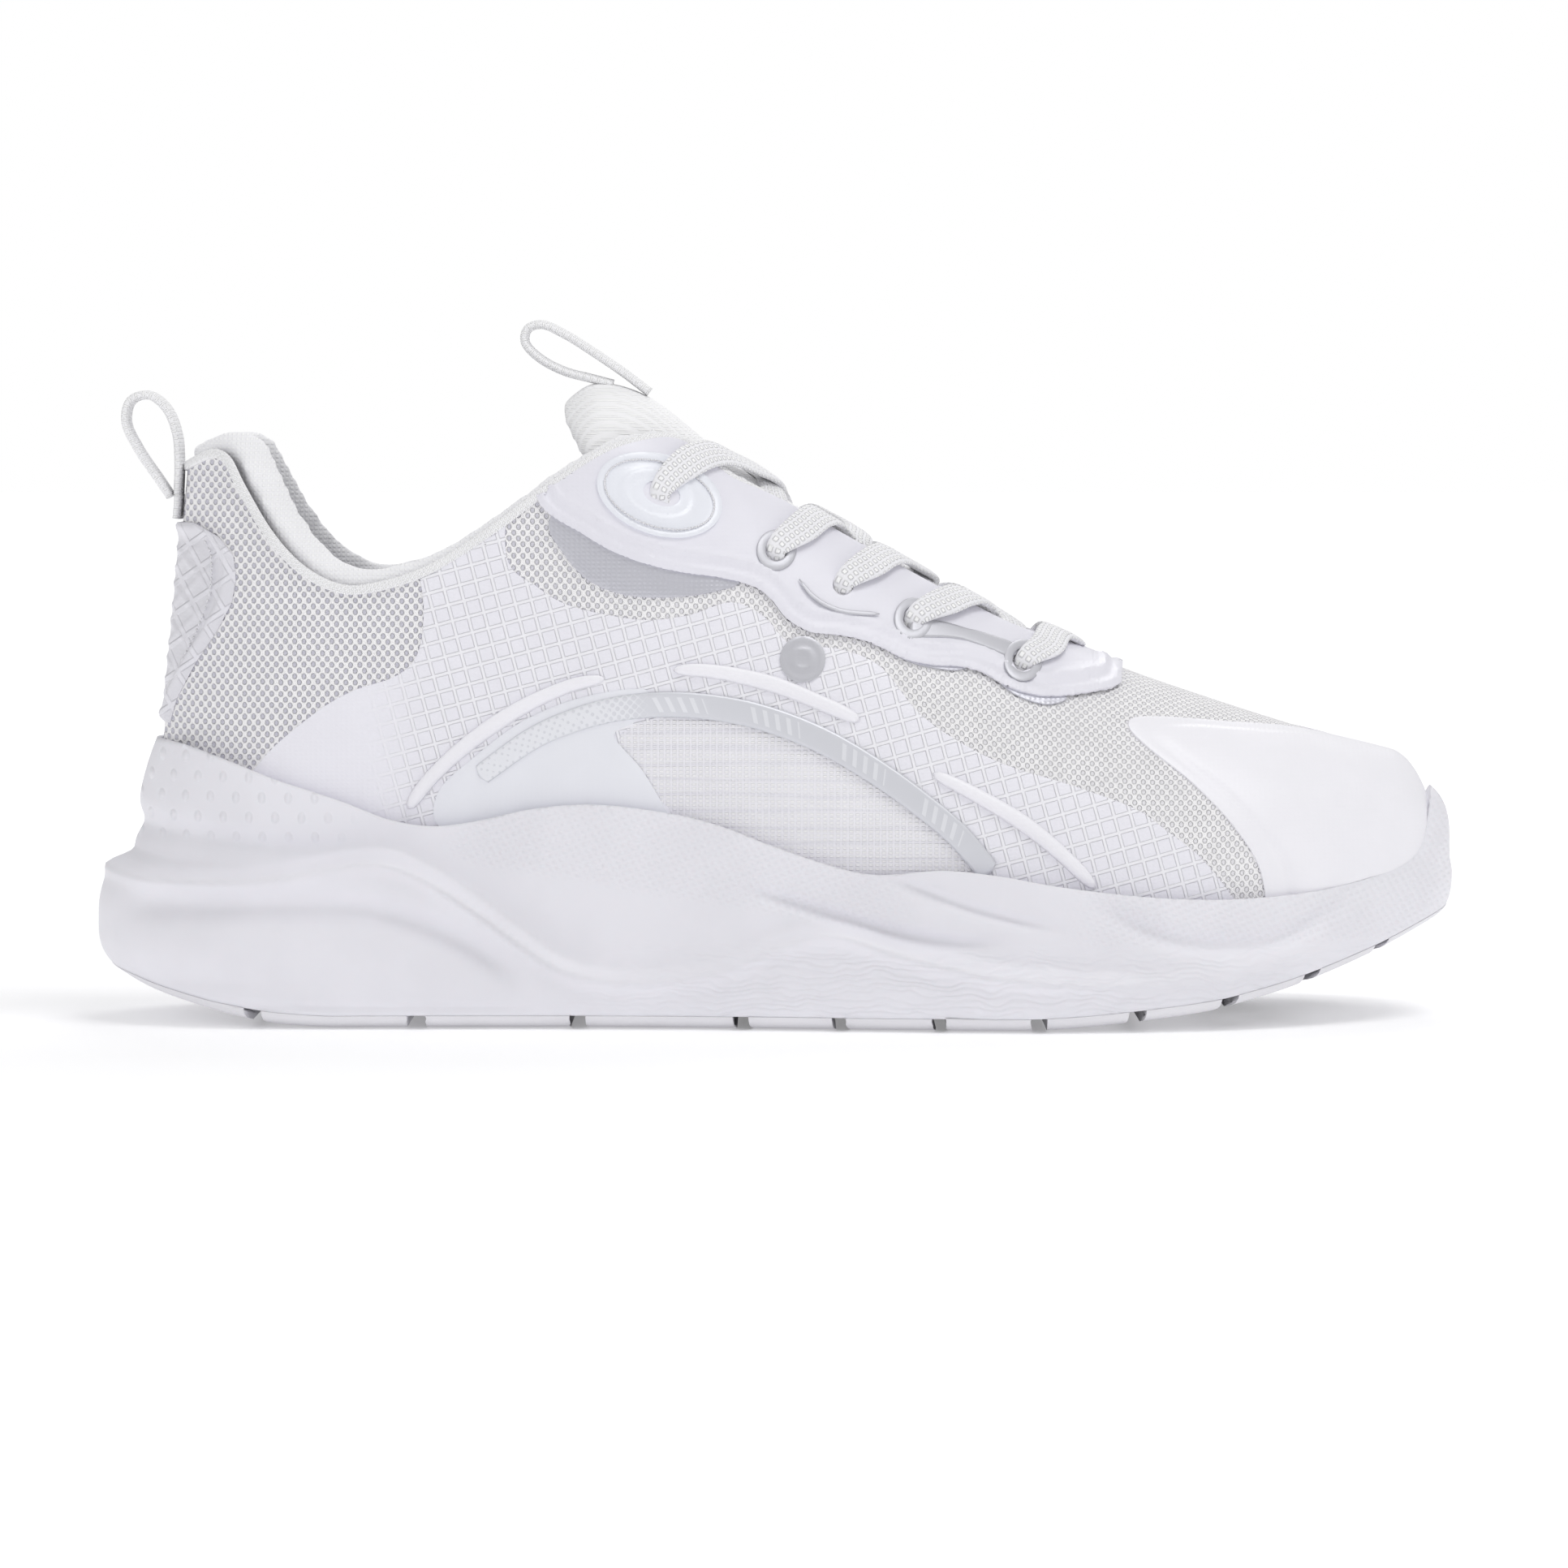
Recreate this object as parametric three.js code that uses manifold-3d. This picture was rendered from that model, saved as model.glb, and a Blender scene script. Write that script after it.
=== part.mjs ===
// A low-cut running shoe for the right foot, as an assembly of its real pieces: blocked outsole, foam
// midsole,
// strobel board, sockliner, knitted mesh upper with moulded overlays, padded collar, tongue, lace and pull
// loops.
// Millimetres, +X to the toe, +Y to the inner (medial) side, +Z up. The ground is z = 0.
import * as THREE from "three";
import { mergeVertices } from "three/addons/utils/BufferGeometryUtils.js";
import Module from "manifold-3d";

const wasm = await Module();
wasm.setup();

// ---- Driving dimensions ------------------------------------------------------------------------------
const SHOE_LENGTH = 298; // midsole, heel to toe
const SHOE_WIDTH = 107; // midsole at the ball, outside to outside
const SHOE_HEIGHT = 139; // ground to the top of the tongue
const GAP = 0.3; // air between two pieces that touch
const OUTSOLE_THICKNESS = 3;
const MESH_THICKNESS = 1.4;
const SHEET_ROOM = 0.75; // air between two curved sheets
const OVERLAY_THICKNESS = 0.7;
const EYESTAY_THICKNESS = 0.8;
const EYELET_RING_THICKNESS = 0.4;
const PANEL_THICKNESS = 0.6;
const FILM_THICKNESS = 0.4;
const LINING_THICKNESS = 0.7;
const COUNTER_THICKNESS = 1.2;
const COLLAR_FOAM = 6.5; // padding at the ankle, measured through the wall
const STROBEL_THICKNESS = 1.5;
const SOCKLINER_THICKNESS = 4.5;
const TONGUE_FOAM = 6.5; // at the top of the tongue
const EYELET_DIAMETER = 4.6;
const LACE_WIDTH = 6.4;
const LACE_THICKNESS = 1.4;
const LOOP_WIDTH = 10;
const LOOP_THICKNESS = 1.2;
const FLEX_WEDGE = 21; // lean of the cut above the flex line that lets the forefoot rise, degrees
const HINGE_CLEARANCE = 0.5;

// The outlines below are drawn at these sizes and stretched to the driving dimensions.
const REFERENCE = { length: 298, width: 107, height: 139 };
const KX = SHOE_LENGTH / REFERENCE.length;
const KY = SHOE_WIDTH / REFERENCE.width;
const KZ = SHOE_HEIGHT / REFERENCE.height;
const LATERAL = -1;
const MEDIAL = 1;
const SIDES = { lateral: LATERAL, medial: MEDIAL };

// ---- Small mathematics -------------------------------------------------------------------------------
const lerp = THREE.MathUtils.lerp;
const clamp = THREE.MathUtils.clamp;
const smooth = (value, from, to) => THREE.MathUtils.smoothstep(value, Math.min(from, to), Math.max(from, to));
const bell = (value, width) => Math.exp(-((value / width) ** 2));

// A smooth curve through [x, y] points, stretched by kx and ky. Outside its points it keeps its end values.
function curve(points, kx = KX, ky = 1) {
  const xs = points.map((p) => p[0] * kx);
  const ys = points.map((p) => p[1] * ky);
  const last = xs.length - 1;
  const slope = (i) => {
    const a = Math.max(i - 1, 0);
    const b = Math.min(i + 1, last);
    return (ys[b] - ys[a]) / (xs[b] - xs[a]);
  };
  return (x) => {
    if (x <= xs[0]) return ys[0];
    if (x >= xs[last]) return ys[last];
    const i = xs.findIndex((value) => value > x) - 1;
    const h = xs[i + 1] - xs[i];
    const t = (x - xs[i]) / h;
    const u = 1 - t;
    const rise = u * u * (1 + 2 * t) * ys[i] + t * t * (3 - 2 * t) * ys[i + 1];
    return rise + h * t * u * (u * slope(i) - t * slope(i + 1));
  };
}

// The value in [low, high] where a rising function reaches target.
function solve(rising, target, low = 0, high = 1) {
  for (let step = 0; step < 40; step++) {
    const middle = (low + high) / 2;
    if (rising(middle) < target) low = middle;
    else high = middle;
  }
  return (low + high) / 2;
}

// ---- Solids ------------------------------------------------------------------------------------------
function solidFrom(points, triangles) {
  const geometry = new THREE.BufferGeometry().setFromPoints(points).setIndex(triangles);
  return solidOf(geometry);
}

function solidOf(geometry) {
  const bare = geometry.clone();
  bare.deleteAttribute("normal");
  bare.deleteAttribute("uv");
  const merged = mergeVertices(bare, 1e-4);
  const index = [...merged.index.array];
  const kept = [];
  for (let i = 0; i < index.length; i += 3) {
    const [a, b, c] = index.slice(i, i + 3);
    if (a !== b && b !== c && c !== a) kept.push(a, b, c);
  }
  const make = (triangles) =>
    new wasm.Manifold(
      new wasm.Mesh({
        numProp: 3,
        vertProperties: new Float32Array(merged.attributes.position.array),
        triVerts: new Uint32Array(triangles),
      }),
    );
  const solid = make(kept);
  return solid.volume() > 0 ? solid : make(kept.reverse());
}

function geometryOf(solid) {
  const mesh = solid.getMesh();
  const positions = new Float32Array(mesh.numVert * 3);
  for (let i = 0; i < mesh.numVert; i++) {
    positions.set(mesh.vertProperties.subarray(i * mesh.numProp, i * mesh.numProp + 3), i * 3);
  }
  const geometry = new THREE.BufferGeometry();
  geometry.setAttribute("position", new THREE.BufferAttribute(positions, 3));
  geometry.setIndex(new THREE.BufferAttribute(new Uint32Array(mesh.triVerts), 1));
  geometry.computeVertexNormals();
  return geometry;
}

// The biggest body of a solid: a cut can leave a crumb beside it.
function mainBody(solid) {
  return solid.decompose().reduce((a, b) => (a.volume() > b.volume() ? a : b));
}

// A closed loft through rings of equally many points, with flat fans at its two ends.
function loft(rings) {
  const size = rings[0].length;
  const points = rings.flat();
  const triangles = [];
  for (let r = 0; r + 1 < rings.length; r++) {
    for (let i = 0; i < size; i++) {
      const a = r * size + i;
      const b = r * size + ((i + 1) % size);
      triangles.push(a, b, b + size, a, b + size, a + size);
    }
  }
  for (const [first, turned] of [[0, true], [(rings.length - 1) * size, false]]) {
    for (let i = 1; i + 1 < size; i++) {
      triangles.push(first, first + (turned ? i + 1 : i), first + (turned ? i : i + 1));
    }
  }
  return solidFrom(points, triangles);
}

// A prism with an outline in the side view, from y = from to y = to.
function sidePrism(outline, from, to) {
  const shape = new THREE.Shape(outline.map(([x, z]) => new THREE.Vector2(x, z)));
  const geometry = new THREE.ExtrudeGeometry(shape, { depth: to - from, bevelEnabled: false });
  geometry.rotateX(Math.PI / 2).translate(0, to, 0);
  return solidOf(geometry);
}

// A smooth closed outline through [x, z] points of the side view.
function outline(points, divisions = 2) {
  const at = points.map(([x, z]) => new THREE.Vector3(x * KX, z * KZ, 0));
  const path = new THREE.CatmullRomCurve3(at, true, "centripetal");
  return path.getPoints(points.length * divisions).slice(0, -1).map((p) => [p.x, p.y]);
}

// ---- The last: the surface that the upper is shaped on -----------------------------------------------
const HEEL_X = 15 * KX;
const TOE_X = 293.5 * KX;
const HEEL_ROUND = 34 * KX;
const TOE_ROUND = 46 * KX;
const TOE_DROP = 10 * KX;
const centreLine = curve([[0, 0], [60, 0], [110, -1], [160, -0.5], [210, 1.5], [240, 4], [270, 7.5],
  [298, 10]], KX, KY);
const footbed = curve(
  [[0, 34], [60, 34], [100, 33.5], [140, 31], [165, 28], [190, 24], [215, 21], [240, 20.5], [265, 23],
  [298, 31]], KX, KZ,
);
const bottomWidth = curve(
  [[15, 31], [45, 31.5], [75, 31], [100, 31.5], [130, 34], [160, 38.5], [190, 42], [215, 43], [240, 41.5],
  [265, 39], [298, 37]], KX, KY,
);
const bulgeWidth = curve(
  [[15, 38], [45, 39], [75, 39], [100, 38], [130, 41], [160, 46], [190, 50], [215, 51.5], [240, 50],
  [265, 46], [298, 42]], KX, KY,
);
const bulgeHeight = curve(
  [[15, 85], [45, 80], [75, 78], [100, 82], [125, 82], [145, 76], [165, 67], [190, 55], [215, 47],
  [240, 42], [265, 39], [298, 42]], KX, KZ,
);
const shoulderWidth = curve(
  [[15, 30], [50, 31], [75, 33], [100, 40], [118, 41], [140, 27], [165, 22], [190, 22], [215, 24],
  [240, 27], [265, 28], [298, 26]], KX, KY,
);
const ridgeHeight = curve(
  [[15, 152], [60, 148], [85, 143], [100, 140.5], [111, 139.3], [120, 136.5], [130, 130.5],
  [147.6, 118.5], [173.6, 102.5],
  [190.9, 92.5], [208, 83], [225, 76], [243, 69.7], [260, 64.2], [277, 59], [298, 53.5]], KX, KZ,
);
const backLean = curve([[34, 0], [45, -1.5], [62, -0.5], [90, 2.3], [110, 4], [127, 5.5], [160, 8]], KZ, KX);
const heelFactor = (x) => Math.sqrt(1 - clamp(1 - (x - HEEL_X) / HEEL_ROUND, 0, 1) ** 2);
const toeFactor = (x) => Math.sqrt(1 - clamp(1 - (TOE_X - x) / TOE_ROUND, 0, 1) ** 2);
const dropFactor = (x) => (1 - clamp(1 - (TOE_X - x) / TOE_DROP, 0, 1) ** 2) ** 0.35;
const shareAt = (x) => (x - HEEL_X) / (TOE_X - HEEL_X);
const xAt = (share, inset = 0) => lerp(HEEL_X + inset, TOE_X - inset, share);

// A point of the last. share runs from heel to toe, v from the feather edge (0) to the ridge (1), inset is
// inwards.
function lastPoint(side, share, v, inset = 0, sink = 0) {
  const x = xAt(share);
  const round = heelFactor(x) * toeFactor(x);
  const low = footbed(x);
  const rise = (height) => low + (height - low) * dropFactor(x);
  const ridge = rise(ridgeHeight(x) - inset);
  const u = 1 - v;
  const [b0, b1, b2, b3] = [u * u * u, 3 * u * u * v, 3 * u * v * v, v * v * v];
  const widths = [bottomWidth(x) - inset, bulgeWidth(x) - inset, shoulderWidth(x) - inset / 3];
  const width = round * (b0 * widths[0] + b1 * widths[1] + b2 * widths[2]);
  const z = b0 * (low - sink) + b1 * rise(bulgeHeight(x) - inset / 3) + (b2 + b3) * ridge;
  const lean = backLean(z) * (1 - smooth(x, HEEL_X, HEEL_X + 45 * KX));
  return new THREE.Vector3(xAt(share, inset) + lean, centreLine(x) + side * width, z);
}

const vAtHeight = (share, z) => solve((v) => lastPoint(LATERAL, share, v).z, z);
const vAtWidth = (share, width) =>
  solve((v) => -Math.abs(lastPoint(LATERAL, share, v).y - centreLine(xAt(share))), -width, 0.3, 1);

// The collar and throat edge: by height round the ankle, by half the gap between the facings along the
// throat.
const collarHeight = curve(
  [[15, 124], [22, 126.5], [26, 125], [30, 119.5], [38.6, 108.5], [47, 100.9], [56, 96.9], [64.6, 97.6],
  [75, 101.2], [87, 108.7],
  [99, 117.5], [111, 125], [119, 127.6], [127, 127.4], [140, 121]], KX, KZ,
);
const throatHalf = curve([[125, 20], [140, 15.5], [156, 13], [174, 12], [191, 11.5], [200, 10.5],
  [207, 7.5], [211, 4], [213, 0]], KX, KY);
const THROAT_END = 213 * KX;
const COLLAR_END = 127 * KX;
const THROAT_START = 140 * KX;

function edgeAt(share) {
  const x = xAt(share);
  if (x >= THROAT_END) return 1;
  const byHeight = vAtHeight(share, collarHeight(x));
  if (x <= COLLAR_END) return byHeight;
  return lerp(byHeight, vAtWidth(share, throatHalf(x)), smooth(x, COLLAR_END, THROAT_START));
}

// ---- Sheets on the last, thickened into shells -------------------------------------------------------
// A sheet is a grid of places on the last: {side, share, v}. Places that coincide are one.
function gridOf(columns, rows, placeAt) {
  const quads = [];
  for (let i = 0; i < columns; i++) {
    for (let j = 0; j < rows; j++) {
      quads.push([[i, j], [i + 1, j], [i + 1, j + 1],
        [i, j + 1]].map(([a, b]) => placeAt(a / columns, b / rows)));
    }
  }
  return quads;
}

// outer and inner turn a place into its inset there.
function shell(quads, outer, inner) {
  const known = new Map();
  const places = [];
  const indexOf = (place) => {
    const key = lastPoint(place.side, place.share, place.v).toArray().map((n) => n.toFixed(3)).join();
    if (!known.has(key)) {
      known.set(key, places.length);
      places.push(place);
    }
    return known.get(key);
  };
  const triangles = [];
  const addTriangle = (a, b, c) => {
    if (a !== b && b !== c && c !== a) triangles.push([a, b, c]);
  };
  for (const quad of quads) {
    const [a, b, c, d] = quad.map(indexOf);
    if (quad[0].side === LATERAL) {
      addTriangle(a, b, d);
      addTriangle(b, c, d);
    } else {
      addTriangle(b, a, d);
      addTriangle(b, d, c);
    }
  }
  const at = (inset) => (place) => lastPoint(place.side, place.share, place.v, inset(place));
  const points = [...places.map(at(outer)), ...places.map(at(inner))];
  const under = places.length;
  const border = new Map();
  for (const [a, b, c] of triangles) {
    for (const [from, to] of [[a, b], [b, c], [c, a]]) {
      if (!border.delete(`${to},${from}`)) border.set(`${from},${to}`, [from, to]);
    }
  }
  const faces = triangles.flatMap(([a, b, c]) => [a, b, c, c + under, b + under, a + under]);
  for (const [from, to] of border.values()) {
    faces.push(to, from, from + under, to, from + under, to + under);
  }
  return solidFrom(points, faces);
}

const even = (inset) => () => inset;
// Shares bunched towards the round heel and toe.
const bunched = (t, from = 0, to = 1) => {
  const [a, b] = [from, to].map((share) => Math.acos(1 - 2 * share));
  return (1 - Math.cos(lerp(a, b, t))) / 2;
};

// Both sides from the feather edge up to a top, between two shares.
function wholeSheet(columns, rows, from, to, bottom, top) {
  return Object.values(SIDES).flatMap((side) =>
    gridOf(columns, rows, (a, b) => {
      const share = bunched(a, from, to);
      const [low, high] = [bottom(share), top(share)];
      return { side, share, v: high === 1 && b === 1 ? 1 : lerp(low, Math.max(high, low + 0.01), b) };
    }),
  );
}

function sideSheet(side, columns, rows, from, to, bottom, top) {
  return wholeSheet(columns, rows, from, to, bottom, top).filter((quad) => quad[0].side === side);
}

// A piece of one side's wall with an outline in the side view.
function appliqueOf(side, shape, outerInset, innerInset) {
  const xs = shape.map(([x]) => x);
  const reach = 8;
  const from = clamp(shareAt(Math.min(...xs) - reach), 0.0, 0.98);
  const to = clamp(shareAt(Math.max(...xs) + reach), 0.1, 0.985);
  const columns = Math.ceil((xAt(to) - xAt(from)) / 9);
  const wall = shell(sideSheet(side, columns, 5, from, to, () => 0, meshTop), even(outerInset),
    even(innerInset));
  const far = 80 * KY;
  const prism = side === LATERAL ? sidePrism(shape, -far, 3) : sidePrism(shape, -3, far);
  return mainBody(wall.intersect(prism));
}

// ---- Insets of the layers, from the outside in -------------------------------------------------------
const OVERLAY_IN = -SHEET_ROOM;
const OVERLAY_OUT = OVERLAY_IN - OVERLAY_THICKNESS;
const FILM_IN = OVERLAY_OUT - SHEET_ROOM;
const FILM_OUT = FILM_IN - FILM_THICKNESS;
const EYESTAY_OUT = FILM_IN - EYESTAY_THICKNESS;
const RING_IN = EYESTAY_OUT - SHEET_ROOM;
const RING_OUT = RING_IN - EYELET_RING_THICKNESS;
const CUP = FILM_OUT - SHEET_ROOM;
const BACKING_OUT = MESH_THICKNESS + 1.5 * SHEET_ROOM;
const COUNTER_IN = BACKING_OUT + COUNTER_THICKNESS;
const LINING_OUT = COUNTER_IN + SHEET_ROOM;
const LINING_IN = LINING_OUT + LINING_THICKNESS;
const LACE_UNDER = BACKING_OUT + LINING_THICKNESS + 1.5 * SHEET_ROOM + LACE_THICKNESS / 2;
const LACE_OVER = RING_OUT - SHEET_ROOM - LACE_THICKNESS / 2;
const TONGUE_OUT = LACE_UNDER + LACE_THICKNESS / 2 + 1.8 * SHEET_ROOM;
const TONGUE_FACE = 0.8;

// ---- The sole ----------------------------------------------------------------------------------------
const soleWidth = curve(
  [[0, 42], [20, 42], [45, 42.5], [75, 41.5], [105, 40.5], [130, 42], [160, 46.5], [190, 51.5],
  [210, 53.5], [235, 52.5], [260, 49],
  [298, 44]], KX, KY,
);
const SOLE_HEEL_ROUND = 42 * KX;
const SOLE_TOE_ROUND = 58 * KX;
const tread = curve(
  [[0, 9], [5, 7.6], [10, 6.2], [18, 4.4], [28, 2.4], [40, 0.8], [52, 0], [60, 0], [190, 0], [207, 0.2],
  [223, 1.4], [242, 3.6],
  [249, 5], [261, 8], [278, 13.6], [291, 18.6], [298, 21]], KX, KZ,
);
const biteLine = curve(
  [[0, 62], [14, 61.5], [26.5, 58.8], [40, 54.7], [56, 49.5], [66, 45.6], [75, 44.2], [84, 45.2],
  [96, 47.9], [108, 49], [120, 48],
  [134, 45.2], [149, 39.6], [161.5, 35.5], [167, 34.3], [172, 34.1], [184, 35.1], [196, 33.9],
  [208, 31.8], [225, 29.6],
  [239, 28.6], [253, 28.6], [267, 29.6], [277, 31.3], [288, 34.8], [292, 37.6], [295, 43],
  [298, 50]], KX, KZ,
);
const shelf = curve(
  [[0, 34.5], [9, 33], [18, 32.4], [35, 32.7], [45, 33.9], [56, 36], [64.5, 36.5], [73, 33.4], [84, 26.5],
  [94, 19.2], [103, 13.5],
  [118, 11], [135, 13], [150, 19.2], [158, 21.6], [165, 20.8], [174, 17.8], [191, 13.7], [208, 11.6],
  [234, 11.5], [265, 17],
  [298, 32]], KX, KZ,
);
const shelfDepth = curve(
  [[0, 7], [20, 6.5], [65, 5.5], [85, 4.2], [103, 2], [118, 1], [140, 1.2], [155, 2.8], [175, 3],
  [208, 2.4], [234, 1.4], [255, 0.5],
  [298, 0.5]], KX, KY,
);
const rimDepth = curve(
  [[0, 12.5], [20, 8], [45, 5.5], [75, 4.5], [105, 3.2], [130, 3], [160, 3.2], [190, 3.6], [220, 4],
  [260, 4], [298, 2.5]], KX, KY,
);
const grooveHeight = curve([[0, 43], [18, 41], [45, 38.5], [75, 41]], KX, KZ);

// How far the side wall stands out from the sole's plan outline at a height.
function wallOffset(x, z) {
  const above = smooth(z, shelf(x) - 1.5 * KZ, shelf(x) + 2.5 * KZ);
  const climb = clamp((z - shelf(x)) / (biteLine(x) - shelf(x)), 0, 1);
  const upper = lerp(shelfDepth(x), rimDepth(x), climb ** 2.2);
  const groove = 1.8 * bell(z - grooveHeight(x), 3) * (1 - smooth(x, 40 * KX, 75 * KX));
  return -above * (upper + groove);
}

function solePoint(side, turn, offset, z) {
  const plan = (t) => {
    const x = (SHOE_LENGTH * (1 - Math.cos(t))) / 2;
    const heel = Math.sqrt(1 - clamp(1 - x / SOLE_HEEL_ROUND, 0, 1) ** 2);
    const toe = Math.sqrt(1 - clamp(1 - (SHOE_LENGTH - x) / SOLE_TOE_ROUND, 0, 1) ** 2);
    return new THREE.Vector2(x, centreLine(x) + side * soleWidth(x) * heel * toe);
  };
  const at = plan(turn);
  if (turn === 0 || turn === Math.PI) return new THREE.Vector3(at.x + (turn === 0 ? -offset : offset), at.y,
    z);
  const step = 1e-3;
  const along = plan(turn + step).sub(plan(turn - step)).normalize();
  const outwards = new THREE.Vector2(along.y, -along.x).multiplyScalar(-side);
  return new THREE.Vector3(at.x + outwards.x * offset, at.y + outwards.y * offset, z);
}

// The whole sole as one solid: rings of rows up the wall, closed across by strips between the two sides.
function soleEnvelope(columns = 32) {
  const roll = (x) => 1 + 0.5 * smooth(x, 262 * KX, SHOE_LENGTH);
  const rows = [
    (x) => [-9, tread(x)],
    (x) => [-3.6, tread(x) + 1 * roll(x)],
    (x) => [-1, tread(x) + 3.6 * roll(x)],
    (x) => [0, tread(x) + 9.5 * roll(x)],
    (x) => [wallOffset(x, shelf(x) - 1.2), shelf(x) - 1.2],
    (x) => [wallOffset(x, shelf(x) + 2.6), shelf(x) + 2.6],
    (x) => [wallOffset(x, lerp(shelf(x), biteLine(x), 0.5)), lerp(shelf(x), biteLine(x), 0.5)],
    (x) => [wallOffset(x, biteLine(x) - 3), biteLine(x) - 3],
    (x) => [wallOffset(x, biteLine(x)) - 0.6, biteLine(x)],
  ];
  const points = [];
  const index = {};
  for (const side of [LATERAL, MEDIAL]) {
    for (let i = 0; i <= columns; i++) {
      const turn = (Math.PI * i) / columns;
      const x = (SHOE_LENGTH * (1 - Math.cos(turn))) / 2;
      const heights = rows.map((row) => row(x));
      for (let k = 1; k < rows.length; k++) heights[k][1] = Math.max(heights[k][1], heights[k - 1][1] + 0.4);
      heights.forEach(([offset, z], k) => {
        const shared = side === MEDIAL && (i === 0 || i === columns);
        index[[side, i, k]] = shared ? index[[LATERAL, i, k]] : points.push(solePoint(side, turn, offset,
          z)) - 1;
      });
    }
  }
  const triangles = [];
  const quad = (a, b, c, d) => triangles.push(a, b, c, a, c, d);
  for (let i = 0; i < columns; i++) {
    for (let k = 0; k + 1 < rows.length; k++) {
      quad(index[[LATERAL, i, k]], index[[LATERAL, i + 1, k]], index[[LATERAL, i + 1, k + 1]],
        index[[LATERAL, i, k + 1]]);
      quad(index[[MEDIAL, i + 1, k]], index[[MEDIAL, i, k]], index[[MEDIAL, i, k + 1]],
        index[[MEDIAL, i + 1, k + 1]]);
    }
    const top = rows.length - 1;
    quad(index[[LATERAL, i + 1, 0]], index[[LATERAL, i, 0]], index[[MEDIAL, i, 0]],
      index[[MEDIAL, i + 1, 0]]);
    quad(index[[LATERAL, i, top]], index[[LATERAL, i + 1, top]], index[[MEDIAL, i + 1, top]],
      index[[MEDIAL, i, top]]);
  }
  return solidFrom(points, triangles);
}

// The space inside the upper's outer layers, from a floor upwards.
function lastVolume(inset, sink, columns = 32, rows = 6) {
  const rings = [];
  for (let i = 0; i <= columns; i++) {
    const share = bunched(lerp(0.004, 0.996, i / columns));
    const half = (side) => Array.from({ length: rows + 1 },
      (_, j) => lastPoint(side, share, j / rows, inset, sink));
    rings.push([...half(LATERAL), ...half(MEDIAL).reverse().slice(1)]);
  }
  return loft(rings);
}

// The tread line with straight stretches between its knots, so that pieces cut by it meet exactly.
const KNOT = 8 * KX;
function treadLine(x) {
  const knot = Math.floor(x / KNOT);
  return lerp(tread(knot * KNOT), tread((knot + 1) * KNOT), x / KNOT - knot);
}

// Everything below a line that follows the tread, between two places along the shoe.
function treadSlab(from, to, height, underside = [[from, -20], [to, -20]]) {
  const line = [from];
  for (let x = (Math.floor(from / KNOT) + 1) * KNOT; x < to - 1; x += KNOT) line.push(x);
  line.push(to);
  const far = 80 * KY;
  return sidePrism([...underside, ...line.reverse().map((x) => [x, treadLine(x) + height])], -far, far);
}

// Blocks of the outsole from heel to toe: [name, from, to].
const BLOCKS = [
  ["outsole_heel_rear", 4, 38.6],
  ["outsole_heel_middle", 42.2, 69.5],
  ["outsole_heel_front", 73.5, 104.3],
  ["outsole_waist_ribs", 112.5, 136],
  ["outsole_ball_rear", 142.4, 159.7],
  ["outsole_ball_middle", 165, 180.7],
  ["outsole_ball_front", 185.7, 202.6],
  ["outsole_forefoot_rear", 207.3, 224],
  ["outsole_forefoot_front", 228.6, 243.5],
  ["outsole_toe_rear", 249.2, 262],
  ["outsole_toe_middle", 266.5, 279],
  ["outsole_toe_tip", 282.5, 293],
].map(([name, from, to]) => [name, from * KX, to * KX]);
const FLEX_X = 226.3 * KX;
const FLEX_Z = footbed(FLEX_X) + STROBEL_THICKNESS + GAP + SOCKLINER_THICKNESS;
const RIB_PITCH = 4.55 * KX;
const RIB_SLOT = 2 * KX;

// The comb-shaped underside of the ribbed block.
function ribs(from, to) {
  const base = tread(from) + OUTSOLE_THICKNESS * 0.55;
  const comb = [[from, -20]];
  for (let x = from + RIB_PITCH - RIB_SLOT; x + 1.5 * RIB_SLOT < to; x += RIB_PITCH) {
    comb.push([x, -20], [x, base], [x + RIB_SLOT, base], [x + RIB_SLOT, -20]);
  }
  return [...comb, [to, -20]];
}

function outsoleBlocks(envelope) {
  return BLOCKS.map(([name, from, to]) => {
    const underside = name === "outsole_waist_ribs" ? ribs(from, to) : undefined;
    return [name, mainBody(envelope.intersect(treadSlab(from, to, OUTSOLE_THICKNESS, underside)))];
  });
}

function midsoleHalves(envelope) {
  const carved = envelope
    .subtract(treadSlab(-10, SHOE_LENGTH + 10, OUTSOLE_THICKNESS + GAP))
    .subtract(lastVolume(CUP, SHEET_ROOM));
  return atFlex(carved);
}

// The two parts of a piece that the forefoot hinge divides. Above the hinge the front one leans away from
// the rear.
function atFlex(whole) {
  const far = 80 * KY;
  const high = 90 * KZ;
  const spread = (high - FLEX_Z) * Math.tan(THREE.MathUtils.degToRad(FLEX_WEDGE));
  const back = FLEX_X - HINGE_CLEARANCE / 2;
  const front = FLEX_X + HINGE_CLEARANCE / 2;
  const rear = sidePrism([[-20, -20], [back, -20], [back, high], [-20, high]], -far, far);
  const toe = sidePrism(
    [[front, -20], [SHOE_LENGTH + 20, -20], [SHOE_LENGTH + 20, high], [front + spread, high],
    [front, FLEX_Z]], -far, far,
  );
  return [mainBody(whole.intersect(rear)), mainBody(whole.intersect(toe))];
}

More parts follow.
